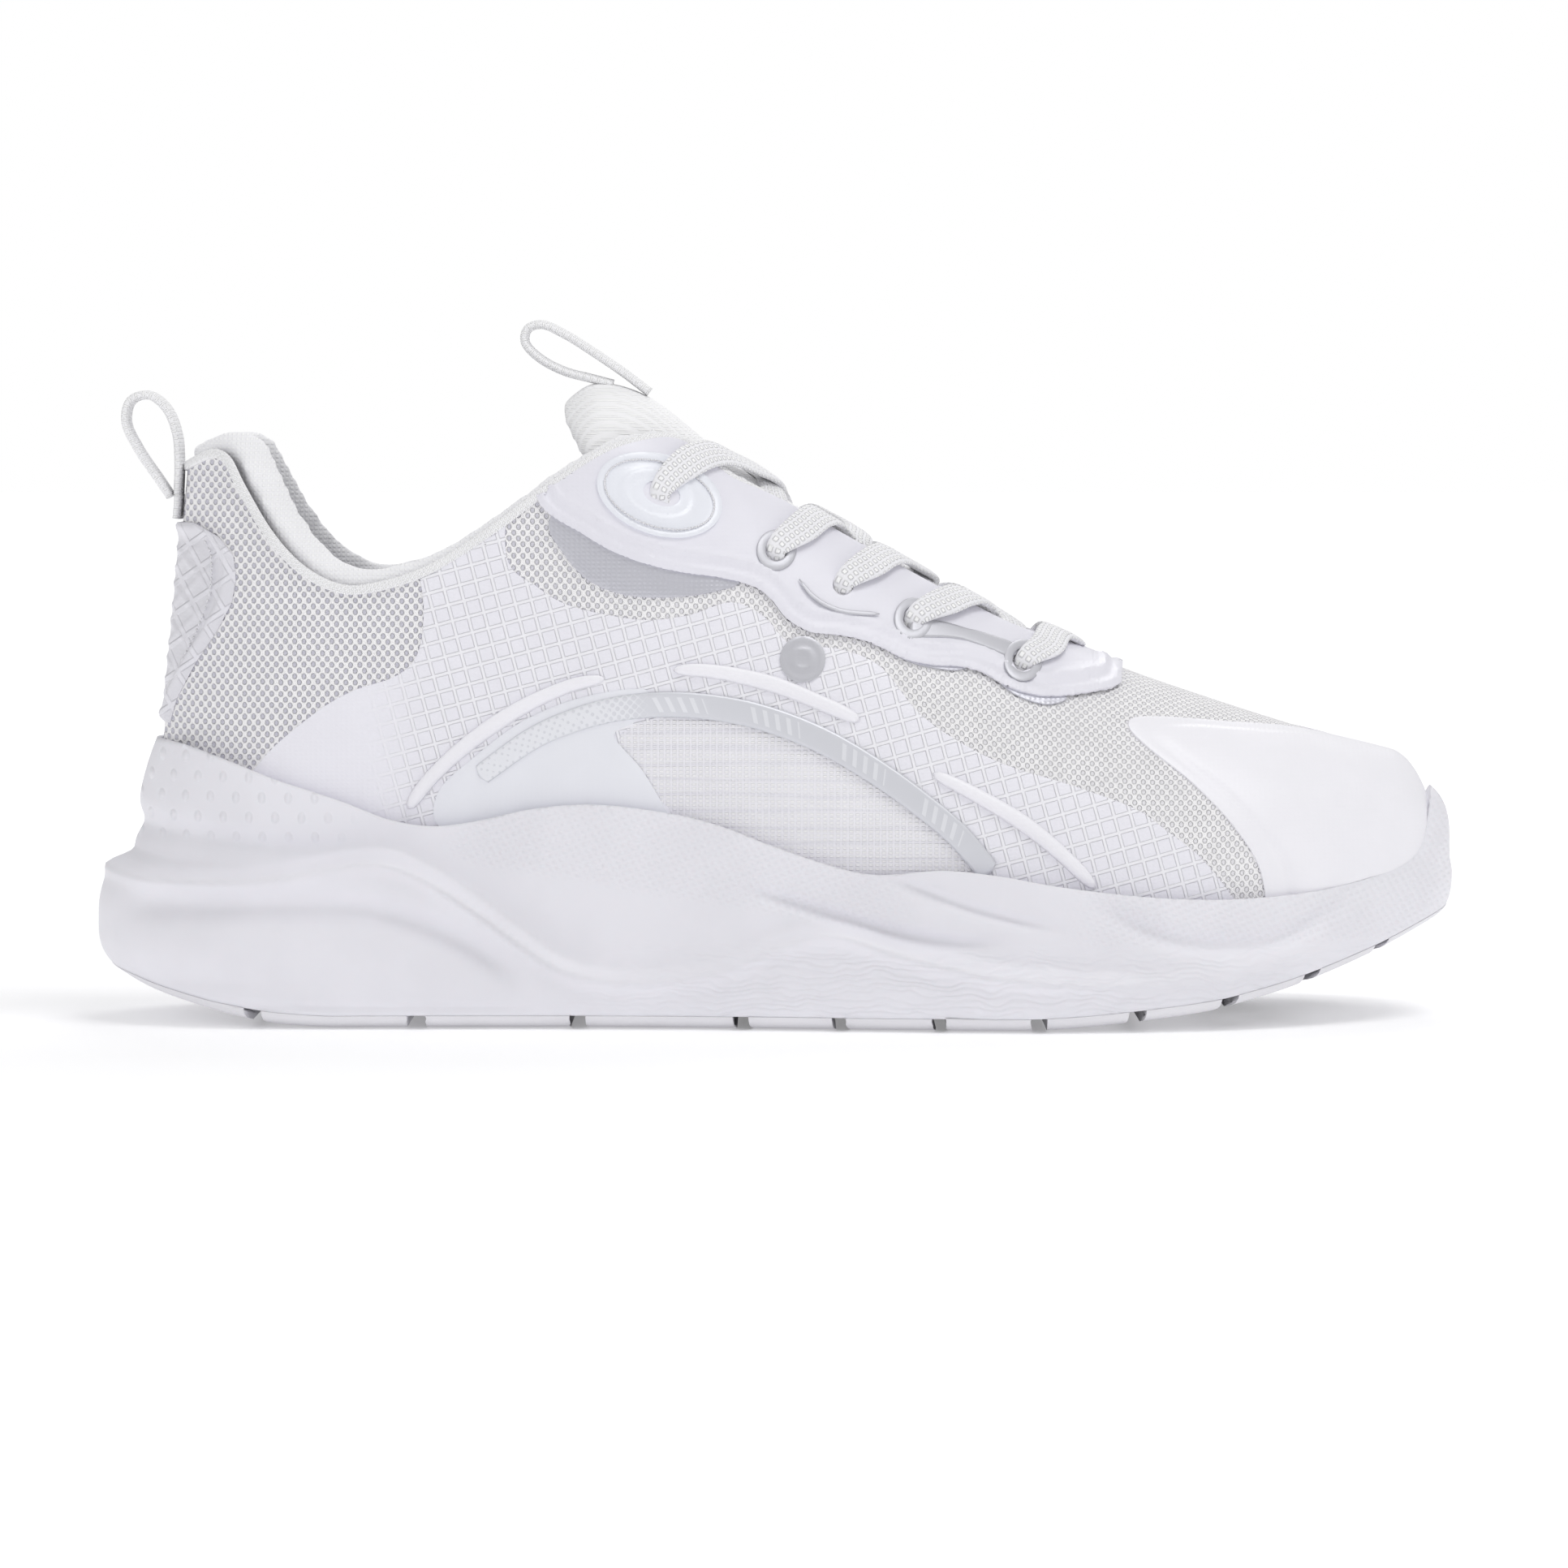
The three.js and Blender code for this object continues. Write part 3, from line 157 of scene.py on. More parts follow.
def solve(rising: Callable[[Array], Array], target: Array, low: Array, high: Array) -> Array:
    """Finds where a rising function reaches target.

    Args:
        rising: the function, of an array.
        target: the values to reach.
        low: the lower ends of the search.
        high: the upper ends of the search.

    Returns:
        The arguments that give target.
    """
    low, high = np.broadcast_arrays(np.asarray(low, float), np.asarray(high, float))
    low, high = np.array(np.broadcast_to(low, target.shape)), np.array(np.broadcast_to(high, target.shape))
    for _ in range(26):
        middle = (low + high) / 2
        under = rising(middle) < target
        low = np.where(under, middle, low)
        high = np.where(under, high, middle)
    return (low + high) / 2


class Last:
    """The surface that the upper is shaped on, as part of the sole's frame."""

    HEEL_X, TOE_X = 15.0, 293.5
    HEEL_ROUND, TOE_ROUND, TOE_DROP = 34.0, 46.0, 10.0
    THROAT_END, COLLAR_END, THROAT_START = 213.0, 127.0, 140.0

    centre = Line((0, 0), (60, 0), (110, -1), (160, -0.5), (210, 1.5), (240, 4), (270, 7.5), (298, 10))
    footbed = Line(
        (0, 34), (60, 34), (100, 33.5), (140, 31), (165, 28), (190, 24), (215, 21), (240, 20.5), (265, 23),
        (298, 31)
    )
    bottom = Line(
        (15, 31), (45, 31.5), (75, 31), (100, 31.5), (130, 34), (160, 38.5), (190, 42), (215, 43),
        (240, 41.5), (265, 39), (298, 37)
    )
    bulge = Line(
        (15, 38), (45, 39), (75, 39), (100, 38), (130, 41), (160, 46), (190, 50), (215, 51.5), (240, 50),
        (265, 46), (298, 42)
    )
    bulge_height = Line(
        (15, 85), (45, 80), (75, 78), (100, 82), (125, 82), (145, 76), (165, 67), (190, 55), (215, 47),
        (240, 42), (265, 39), (298, 42)
    )
    shoulder = Line(
        (15, 30), (50, 31), (75, 33), (100, 40), (118, 41), (140, 27), (165, 22), (190, 22), (215, 24),
        (240, 27), (265, 28), (298, 26)
    )
    ridge = Line(
        (15, 152), (60, 148), (85, 143), (100, 140.5), (111, 139.3), (120, 136.5), (130, 130.5),
        (147.6, 118.5), (173.6, 102.5), (190.9, 92.5), (208, 83), (225, 76), (243, 69.7), (260, 64.2),
        (277, 59), (298, 53.5)
    )
    back_lean = Line((34, 0), (45, -1.5), (62, -0.5), (90, 2.3), (110, 4), (127, 5.5), (160, 8))
    collar = Line(
        (15, 124), (22, 126.5), (26, 125), (30, 119.5), (38.6, 108.5), (47, 100.9), (56, 96.9),
        (64.6, 97.6), (75, 101.2), (87, 108.7), (99, 117.5), (111, 125), (119, 127.6), (127, 127.4),
        (140, 121)
    )
    throat = Line(
        (125, 20), (140, 15.5), (156, 13), (174, 12), (191, 11.5), (200, 10.5), (207, 7.5), (211, 4),
        (213, 0)
    )
    roll_depth = Line((15, 4.4), (60, 3.4), (118, 3.2), (132, 2.2), (146, 0.9))

    @classmethod
    def x_at(cls, share: Array, inset: Array | float = 0.0) -> Array:
        """The place along the shoe of a share of the last's length."""
        return lerp(cls.HEEL_X + inset, cls.TOE_X - inset, share)

    @classmethod
    def share_at(cls, x: Array | float) -> Array:
        """The share of the last's length at a place along the shoe."""
        return (np.asarray(x, float) - cls.HEEL_X) / (cls.TOE_X - cls.HEEL_X)

    @classmethod
    def point(cls, side: Array | int, share: Array, v: Array, inset: Array | float = 0.0) -> Array:
        """Points of the last.

        Args:
            side: LATERAL or MEDIAL, one or for each point.
            share: from heel (0) to toe (1).
            v: from the feather edge (0) to the ridge (1).
            inset: how far inside the last, in millimetres.

        Returns:
            An array of points, three numbers each.
        """
        x = cls.x_at(share)
        heel = np.sqrt(1 - np.clip(1 - (x - cls.HEEL_X) / cls.HEEL_ROUND, 0, 1) ** 2)
        toe = np.sqrt(1 - np.clip(1 - (cls.TOE_X - x) / cls.TOE_ROUND, 0, 1) ** 2)
        drop = (1 - np.clip(1 - (cls.TOE_X - x) / cls.TOE_DROP, 0, 1) ** 2) ** 0.35
        low = cls.footbed(x)
        ridge = low + (cls.ridge(x) - inset - low) * drop
        belly = low + (cls.bulge_height(x) - inset / 3 - low) * drop
        u = 1 - v
        b0, b1, b2, b3 = u * u * u, 3 * u * u * v, 3 * u * v * v, v * v * v
        width = heel * toe * (
            b0 * (cls.bottom(x) - inset) + b1 * (cls.bulge(x) - inset) + b2 * (cls.shoulder(x) - inset / 3)
        )
        z = b0 * low + b1 * belly + (b2 + b3) * ridge
        lean = cls.back_lean(z) * (1 - smooth(x, cls.HEEL_X, cls.HEEL_X + 45))
        placed = (cls.x_at(share, inset) + lean, cls.centre(x) + side * width, z)
        return np.stack(np.broadcast_arrays(*placed), axis=-1)

    @classmethod
    def v_at_height(cls, share: Array, z: Array) -> Array:
        """The place up the wall at a height."""
        share, z = np.broadcast_arrays(np.asarray(share, float), np.asarray(z, float))
        return solve(lambda v: cls.point(LATERAL, share, v)[..., 2], z, 0.0, 1.0)

    @classmethod
    def v_at_width(cls, share: Array, width: Array) -> Array:
        """The place up the wall where it is a distance off the middle line.

        Args:
            share: the share of the last's length, 0 to 1.
            width: the distance off the middle line.

        Returns:
            The values.
        """
        share, width = np.broadcast_arrays(np.asarray(share, float), np.asarray(width, float))
        middle = cls.centre(cls.x_at(share))
        return solve(lambda v: -np.abs(cls.point(LATERAL, share, v)[..., 1] - middle), -width, 0.3, 1.0)

    @classmethod
    def edge(cls, share: Array) -> Array:
        """The collar and throat edge.

        Args:
            share: the share of the last's length, 0 to 1.

        Returns:
            The values.
        """
        share = np.asarray(share, float)
        x = cls.x_at(share)
        by_height = cls.v_at_height(share, cls.collar(x))
        by_width = cls.v_at_width(share, cls.throat(x))
        edge = lerp(by_height, by_width, smooth(x, cls.COLLAR_END, cls.THROAT_START))
        return np.where(x >= cls.THROAT_END, 1.0, edge)

    @classmethod
    def below_edge(cls, share: Array, drop: Array) -> Array:
        """The edge, lowered by a distance down the wall.

        Args:
            share: the share of the last's length, 0 to 1.
            drop: the distance down the wall.

        Returns:
            The values.
        """
        share = np.asarray(share, float)
        top = cls.edge(share)
        rim = cls.point(LATERAL, share, top)
        away = lambda v: -np.linalg.norm(cls.point(LATERAL, share, v) - rim, axis=-1)
        lowered = solve(away, -np.broadcast_to(drop, share.shape), np.zeros_like(share), top)
        return np.where(np.asarray(drop) > 1e-6, lowered, top)

    @classmethod
    def girth(cls, share: Array, v: Array) -> Array:
        """The length of the wall from the feather edge up to v.

        Args:
            share: the share of the last's length, 0 to 1.
            v: the place up the wall, 0 to 1.

        Returns:
            The values.
        """
        steps = np.linspace(0, 1, 25)
        ladder = cls.point(LATERAL, share[:, None], v[:, None] * steps[None, :])
        return np.linalg.norm(np.diff(ladder, axis=1), axis=-1).sum(axis=1)

    @classmethod
    def mesh_top(cls, share: Array) -> Array:
        """The upper edge of the shell under the collar roll."""
        x = cls.x_at(share)
        return cls.below_edge(share, (cls.roll_depth(x) - 1.2) * (1 - smooth(x, 146, 154)))


# ---- The bench: meshes from grids and outlines ---------------------------------------------------------


class Bench:
    """Makes pieces in the frame's metres."""

    ORIGIN = np.array([SOLE_LENGTH / 2, 0.0, 0.0])
    SCALE = (CAD_BOX[1][0] - CAD_BOX[0][0]) / SOLE_LENGTH

    @classmethod
    def settle(cls, sole: "Sole") -> None:
        """Finds the frame's middle line from the sole's outline.

        Args:
            sole: the sole.
        """
        turn = np.linspace(0, math.pi, 721)
        low = sole.plan(LATERAL, turn)[:, 1].min()
        high = sole.plan(MEDIAL, turn)[:, 1].max()
        cls.ORIGIN = np.array([SOLE_LENGTH / 2, (low + high) / 2, 0.0])

    @classmethod
    def place(cls, points: Array) -> Array:
        """Turns millimetres of the shoe into metres of the frame."""
        return (np.asarray(points, float) - cls.ORIGIN) * cls.SCALE

    @staticmethod
    def grid(columns: int, rows: int) -> tuple[bmesh.types.BMesh, Array]:
        """A flat grid and where each of its vertices lies in it.

        Args:
            columns: faces along the first way.
            rows: faces along the second way.

        Returns:
            The bmesh, and an array of (a, b), each from 0 to 1.
        """
        bm = bmesh.new()
        bmesh.ops.create_grid(bm, x_segments=columns, y_segments=rows, size=0.5)
        at = np.array([(v.co.x + 0.5, v.co.y + 0.5) for v in bm.verts])
        return bm, np.clip(at, 0.0, 1.0)

    @classmethod
    def both_sides(cls, columns: int, rows: int) -> tuple[bmesh.types.BMesh, Array, Array]:
        """A grid for each side of the shoe.

        Args:
            columns: faces along each.
            rows: faces up each.

        Returns:
            The bmesh, where each vertex lies in its grid, and its side, LATERAL or MEDIAL.
        """
        bm, at = cls.grid(columns, rows)
        bmesh.ops.create_grid(bm, x_segments=columns, y_segments=rows, size=0.5)
        return bm, np.concatenate([at, at]), np.repeat([LATERAL, MEDIAL], len(at))

    @staticmethod
    def outline(points: Points, spacing: float = 1.2, closed: bool = True) -> Array:
        """A smooth line through points.

        Args:
            points: the places that it passes.
            spacing: the distance between the points of the result.
            closed: whether its end joins its start.

        Returns:
            An array of points.
        """
        given = np.array(points, float)
        count = len(given)
        fine = []
        spans = count if closed else count - 1
        for i in range(spans):
            pick = [(i + k) % count if closed else min(max(i + k, 0), count - 1) for k in (-1, 0, 1, 2)]
            p0, p1, p2, p3 = given[pick]
            steps = max(2, int(np.linalg.norm(p2 - p1) / spacing))
            t = (np.arange(steps) / steps)[:, None]
            square = 2 * p0 - 5 * p1 + 4 * p2 - p3
            cube = 3 * p1 - p0 - 3 * p2 + p3
            fine.append(0.5 * ((2 * p1) + (p2 - p0) * t + square * t**2 + cube * t**3))
        if not closed:
            fine.append(given[-1:])
        return np.concatenate(fine)

    @staticmethod
    def ellipse(
        x: float, z: float, length: float, height: float, tilt: float = 0.0, count: int = 40
    ) -> Array:
        """The outline of an ellipse, tilted in degrees.

        Args:
            x: its middle along the shoe.
            z: its middle height.
            length: its long axis.
            height: its short axis.
            tilt: how it is turned, in degrees.
            count: how many points it has.

        Returns:
            The values.
        """
        angle = np.linspace(0, 2 * math.pi, count, endpoint=False)
        turn = math.radians(tilt)
        a, b = length / 2 * np.cos(angle), height / 2 * np.sin(angle)
        cos, sin = math.cos(turn), math.sin(turn)
        return np.stack([x + a * cos - b * sin, z + a * sin + b * cos], axis=1)

    @staticmethod
    def filled(shape: Array, holes: Iterable[Array], step: float) -> bmesh.types.BMesh:
        """A flat sheet inside an outline, cut into small faces.

        Args:
            shape: the outline.
            holes: outlines left open inside it.
            step: the size of the faces.

        Returns:
            The bmesh, with x and y as the outline's two numbers.
        """
        bm = bmesh.new()
        for loop in (shape, *holes):
            verts = [bm.verts.new((x, y, 0.0)) for x, y in loop]
            for i, vert in enumerate(verts):
                bm.edges.new((vert, verts[(i + 1) % len(verts)]))
        bmesh.ops.triangle_fill(bm, use_beauty=True, use_dissolve=False, edges=bm.edges[:])
        for axis in range(2):
            low, high = shape[:, axis].min(), shape[:, axis].max()
            normal = Vector((1.0 - axis, axis, 0.0))
            for cut in np.arange(math.ceil(low / step) * step + 0.137, high, step):
                everything = bm.verts[:] + bm.edges[:] + bm.faces[:]
                bmesh.ops.bisect_plane(
                    bm, geom=everything, dist=1e-4, plane_co=normal * float(cut), plane_no=normal
                )
        return bm

    @classmethod
    def finish(
        cls, name: str, bm: bmesh.types.BMesh, points: Array, uv: Array | None = None, merge: float = 2e-5
    ) -> Piece:
        """Turns a worked bmesh into an object.

        Args:
            name: the piece's name.
            bm: the bmesh, which is freed.
            points: where its vertices go, in the shoe's millimetres.
            uv: the pattern's coordinates at each vertex, in millimetres, or None.
            merge: the distance under which vertices join, in metres.

        Returns:
            The object, linked to the scene.
        """
        placed = cls.place(points)
        if uv is not None:
            layer = bm.loops.layers.uv.new("pattern")
            bm.verts.index_update()
            for face in bm.faces:
                for loop in face.loops:
                    u, v = uv[loop.vert.index]
                    loop[layer].uv = (float(u), float(v))
        for vert, co in zip(bm.verts, placed):
            vert.co = co
        bmesh.ops.remove_doubles(bm, verts=bm.verts[:], dist=merge)
        bmesh.ops.dissolve_degenerate(bm, edges=bm.edges[:], dist=1e-7)
        bmesh.ops.recalc_face_normals(bm, faces=bm.faces[:])
        for face in bm.faces:
            face.smooth = True
        mesh = bpy.data.meshes.new(name)
        bm.to_mesh(mesh)
        bm.free()
        piece = bpy.data.objects.new(name, mesh)
        bpy.context.scene.collection.objects.link(piece)
        return piece

    @staticmethod
    def face_out(piece: Piece, inside: Array) -> None:
        """Turns an open sheet's faces away from a point inside the shoe.

        Args:
            piece: the piece.
            inside: the point.
        """
        mesh = piece.data
        score = 0.0
        for face in mesh.polygons:
            away = np.array(face.center) - inside
            score += float(np.dot(away, np.array(face.normal))) * face.area
        if score < 0:
            mesh.flip_normals()

    @staticmethod
    def thicken(piece: Piece, thickness: float, rim: float = 0.0) -> None:
        """Gives a sheet its thickness and rounds its rim, in millimetres.

        Args:
            piece: the piece.
            thickness: how thick it becomes.
            rim: the rim's radius, or 0.
        """
        solid = piece.modifiers.new("thickness", "SOLIDIFY")
        solid.thickness = thickness / 1000
        solid.offset = -1.0
        if rim > 0:
            bevel = piece.modifiers.new("rim", "BEVEL")
            bevel.width = rim / 1000
            bevel.segments = 3
            bevel.limit_method = "ANGLE"
            bevel.angle_limit = math.radians(50)


def unit_rows(points: Array) -> Array:
    """Each row at length 1."""
    return points / np.maximum(np.linalg.norm(points, axis=-1, keepdims=True), 1e-9)


# ---- Finishes -------------------------------------------------------------------------------------------


class Space(Enum):
    """What a pattern's coordinates follow."""

    OBJECT = "Object"
    PATTERN = "UV"


@dataclass(frozen=True)
class Weave:
    """A woven or knitted look.

    Attributes:
        pitch: the width of a stitch, in millimetres.
        course: the height of a stitch, in millimetres.
        depth: how strongly it shows, 0 to 1.
        shade: how strongly the painted shade between the yarns shows, 0 to 1.
    """

    pitch: float = 1.1
    course: float = 0.8
    depth: float = 0.5
    shade: float = 0.12


class Nodes:
    """Writes a material's nodes with a few plain words."""

    def __init__(self, name: str) -> None:
        """Starts a material with an empty tree.

        Args:
            name: the material's name.
        """
        self.material = bpy.data.materials.new(name)
        self.material.use_nodes = True
        self.tree = self.material.node_tree
        self.tree.nodes.clear()
        self.output = self.tree.nodes.new("ShaderNodeOutputMaterial")
        self.shader = self.tree.nodes.new("ShaderNodeBsdfPrincipled")
        self.tree.links.new(self.shader.outputs["BSDF"], self.output.inputs["Surface"])
        self.coordinates = self.tree.nodes.new("ShaderNodeTexCoord")

    def link(self, socket: Socket, value: object) -> None:
        """Puts a number on a socket, or joins another socket to it.

        Args:
            socket: the socket.
            value: a number, a colour or another socket.
        """
        if isinstance(value, Socket):
            self.tree.links.new(value, socket)
        else:
            socket.default_value = value

    def math(self, operation: str, a: object, b: object = 0.0) -> Socket:
        """One step of arithmetic.

        Args:
            operation: the name of the step.
            a: the first number.
            b: the second number.

        Returns:
            The result.
        """
        node = self.tree.nodes.new("ShaderNodeMath")
        node.operation = operation
        self.link(node.inputs[0], a)
        self.link(node.inputs[1], b)
        return node.outputs[0]

    def times(self, a: object, b: object) -> Socket:
        """a multiplied by b."""
        return self.math("MULTIPLY", a, b)

    def plus(self, a: object, b: object) -> Socket:
        """a with b added."""
        return self.math("ADD", a, b)

    def minus(self, a: object, b: object) -> Socket:
        """a with b taken away."""
        return self.math("SUBTRACT", a, b)

    def greater(self, a: object, b: object) -> Socket:
        """The greater of a and b."""
        return self.math("MAXIMUM", a, b)

    def place(self, space: Space, per: Sequence[float], turn: Sequence[float] = (0, 0, 0)) -> Socket:
        """Coordinates that rise by one every so many millimetres.

        Args:
            space: what they follow.
            per: the millimetres for each of x, y and z.
            turn: how they are turned, in degrees.

        Returns:
            The vector socket.
        """
        unit = 1000.0 if space is Space.OBJECT else 1.0
        node = self.tree.nodes.new("ShaderNodeMapping")
        self.link(node.inputs["Vector"], self.coordinates.outputs[space.value])
        node.inputs["Rotation"].default_value = [math.radians(t) for t in turn]
        scaled = self.tree.nodes.new("ShaderNodeMapping")
        self.link(scaled.inputs["Vector"], node.outputs[0])
        scaled.inputs["Scale"].default_value = [unit / p for p in per]
        return scaled.outputs[0]

    def axes(self, vector: Socket) -> tuple[Socket, ...]:
        """A vector's three numbers.

        Args:
            vector: the vector.

        Returns:
            Its x, y and z.
        """
        node = self.tree.nodes.new("ShaderNodeSeparateXYZ")
        self.link(node.inputs[0], vector)
        return tuple(node.outputs)

    def noise(self, vector: Socket, scale: float = 1.0, detail: float = 3.0) -> Socket:
        """Soft random variation, 0 to 1.

        Args:
            vector: the vector.
            scale: how fine it is.
            detail: how many finer layers it has.

        Returns:
            The result.
        """
        node = self.tree.nodes.new("ShaderNodeTexNoise")
        self.link(node.inputs["Vector"], vector)
        node.inputs["Scale"].default_value = scale
        node.inputs["Detail"].default_value = detail
        return node.outputs["Fac"]

    def wave(self, value: Socket) -> Socket:
        """A wave from 0 to 1 that repeats as value rises by one."""
        turned = self.math("SINE", self.times(value, 2 * math.pi))
        return self.times(self.plus(turned, 1.0), 0.5)

    def ramp(self, value: Socket, low: float, high: float) -> Socket:
        """0 up to low, 1 from high on, smooth between.

        Args:
            value: the number to read.
            low: where it leaves 0.
            high: where it reaches 1.

        Returns:
            The result.
        """
        node = self.tree.nodes.new("ShaderNodeMapRange")
        node.interpolation_type = "SMOOTHSTEP"
        self.link(node.inputs["Value"], value)
        node.inputs["From Min"].default_value = low
        node.inputs["From Max"].default_value = high
        return node.outputs[0]

    def mix(self, share: object, dark: Sequence[float], light: Sequence[float]) -> Socket:
        """A colour between two, by share.

        Args:
            share: the light colour's share.
            dark: the colour at 0.
            light: the colour at 1.

        Returns:
            The result.
        """
        node = self.tree.nodes.new("ShaderNodeMix")
        node.data_type = "RGBA"
        self.link(node.inputs[0], share)
        self.link(node.inputs[6], dark if isinstance(dark, Socket) else (*dark, 1.0))
        self.link(node.inputs[7], light if isinstance(light, Socket) else (*light, 1.0))
        return node.outputs[2]

    def tint(self, share: object, colour: Sequence[float], dim: float) -> Socket:
        """A colour from 0 to 255 numbers, dimmed where share is 0."""
        full = linear(*colour)
        return self.mix(share, [c * dim for c in full], full)

    def bump(self, height: Socket, distance: float) -> None:
        """Raises the surface by height times a distance in millimetres.

        Args:
            height: the pattern.
            distance: how far a height of 1 stands out, in millimetres.
        """
        node = self.tree.nodes.new("ShaderNodeBump")
        node.inputs["Strength"].default_value = 1.0
        node.inputs["Distance"].default_value = distance / 1000
        self.link(node.inputs["Height"], height)
        self.link(self.shader.inputs["Normal"], node.outputs[0])

    def surface(self, roughness: object, **sockets: object) -> None:
        """Sets the shader's roughness and any other sockets by name.

        Args:
            roughness: the roughness.
            sockets: values by their sockets.
        """
        self.link(self.shader.inputs["Roughness"], roughness)
        for name, value in sockets.items():
            self.link(self.shader.inputs[name.replace("_", " ")], value)


def linear(*srgb: float) -> tuple[float, float, float]:
    """A colour's linear value from 0 to 255 numbers."""
    return tuple(((c / 255 + 0.055) / 1.055) ** 2.4 for c in srgb)


@dataclass(frozen=True)
class Cloth:
    """A knitted or woven cloth.

    Attributes:
        name: the material's name.
        colour: the yarn's colour, 0 to 255.
        gap_shade: the colour between the yarns, painted darker as the shade that falls there.
        weave: the stitch.
        space: what the weave follows.
        diagonal: whether the stitch runs as a twill.
        fuzz: the sheen weight.
        across: which axis the columns follow, when the weave follows the object.
        lines: how far apart coarser rows are, in millimetres, or 0; they are sunk and carry painted shade.
    """

    name: str
    colour: tuple[float, float, float]
    gap_shade: tuple[float, float, float]
    weave: Weave = Weave()
    space: Space = Space.PATTERN
    diagonal: bool = False
    fuzz: float = 0.25
    across: int = 0
    lines: float = 0.0

    def build(self) -> Material:
        """Makes the material.

        Returns:
            The material.
        """
        nodes = Nodes(self.name)
        weave = self.weave
        flat = self.space is Space.PATTERN
        per = (weave.pitch, weave.course if flat else weave.pitch, weave.course)
        axes = nodes.axes(nodes.place(self.space, per))
        u, rise = axes[self.across], axes[1 if flat else 2]
        row = nodes.wave(rise)
        shifted = nodes.plus(u, nodes.times(rise, 0.5)) if self.diagonal else u
        column = nodes.wave(shifted)
        yarn = nodes.times(nodes.ramp(row, 0.1, 0.75), nodes.ramp(column, 0.08, 0.7))
        uneven = nodes.noise(nodes.place(self.space, (9, 9, 9)), 1.0, 4.0)
        height = nodes.plus(yarn, nodes.times(uneven, 0.25))
        # Painted shade: the colour darkens between the yarns, where shade falls.
        share = nodes.times(nodes.minus(1.0, yarn), weave.shade)
        if self.lines > 0:
            coarse = nodes.axes(nodes.place(self.space, (self.lines,) * 3))[1 if flat else 2]
            wander = nodes.noise(nodes.place(self.space, (30, 30, 2)), 1.0, 2.0)
            deep = nodes.ramp(nodes.wave(nodes.plus(coarse, wander)), 0.6, 1.0)
            # Painted shade in the sunken coarse rows.
            share = nodes.greater(share, nodes.times(deep, 0.4))
            height = nodes.minus(height, nodes.times(deep, 0.6))
        tint = nodes.tint(nodes.ramp(uneven, 0.3, 0.7), self.colour, 0.97)
        nodes.link(nodes.shader.inputs["Base Color"], nodes.mix(share, tint, linear(*self.gap_shade)))
        nodes.bump(height, 0.35 * weave.depth)
        nodes.surface(0.78, Sheen_Weight=self.fuzz, Sheen_Roughness=0.4, Specular_IOR_Level=0.3)
        return nodes.material


@dataclass(frozen=True)
class AirMesh:
    """An engineered knit with staggered holes, open at the heel and finer over the toes; the holes are
    painted dark as the shade inside the shoe, less so towards the toes.

    Attributes:
        name: the material's name.
        colour: the yarn's colour, 0 to 255.
        gap_shade: the colour in the holes, a painted shade for the dark inside of the shoe.
        pitch: the distance between holes along a row, in millimetres.
        course: the distance between two rows that line up.
    """

    name: str
    colour: tuple[float, float, float]
    gap_shade: tuple[float, float, float]
    pitch: float = 2.0
    course: float = 2.5

    def build(self) -> Material:
        """Makes the material.

        Returns:
            The material.
        """
        nodes = Nodes(self.name)
        u, v, _ = nodes.axes(nodes.place(Space.PATTERN, (self.pitch, self.course, 1)))
        wander = nodes.noise(nodes.place(Space.PATTERN, (6, 6, 6)), 1.0, 2.0)
        v = nodes.plus(v, nodes.times(wander, 0.25))
        first = nodes.times(nodes.wave(u), nodes.wave(v))
        second = nodes.times(nodes.wave(nodes.plus(u, 0.5)), nodes.wave(nodes.plus(v, 0.5)))
        hole = nodes.ramp(nodes.greater(first, second), 0.36, 0.82)
        strand, ply, _ = nodes.axes(nodes.place(Space.PATTERN, (0.5, 0.62, 1)))
        twist = nodes.wave(nodes.plus(strand, ply))
        x, _, _ = nodes.axes(nodes.place(Space.OBJECT, (1, 1, 1)))
        # Painted shade: the holes take the dark colour of the shade inside the shoe, fully at the heel and
        # about a third as much over the toes, where the mesh is finer.
        vamp = nodes.ramp(x, -85.0, 0.0)
        hole_shade_share = nodes.minus(1.0, nodes.times(vamp, 0.68))
        tint = nodes.tint(nodes.ramp(wander, 0.3, 0.7), self.colour, 0.96)
        share = nodes.times(nodes.times(hole, 0.8), hole_shade_share)
        nodes.link(nodes.shader.inputs["Base Color"], nodes.mix(share, tint, linear(*self.gap_shade)))
        height = nodes.minus(nodes.times(twist, 0.16), hole)
        nodes.bump(height, 0.42)
        nodes.surface(0.8, Sheen_Weight=0.1, Sheen_Roughness=0.4, Specular_IOR_Level=0.3)
        return nodes.material


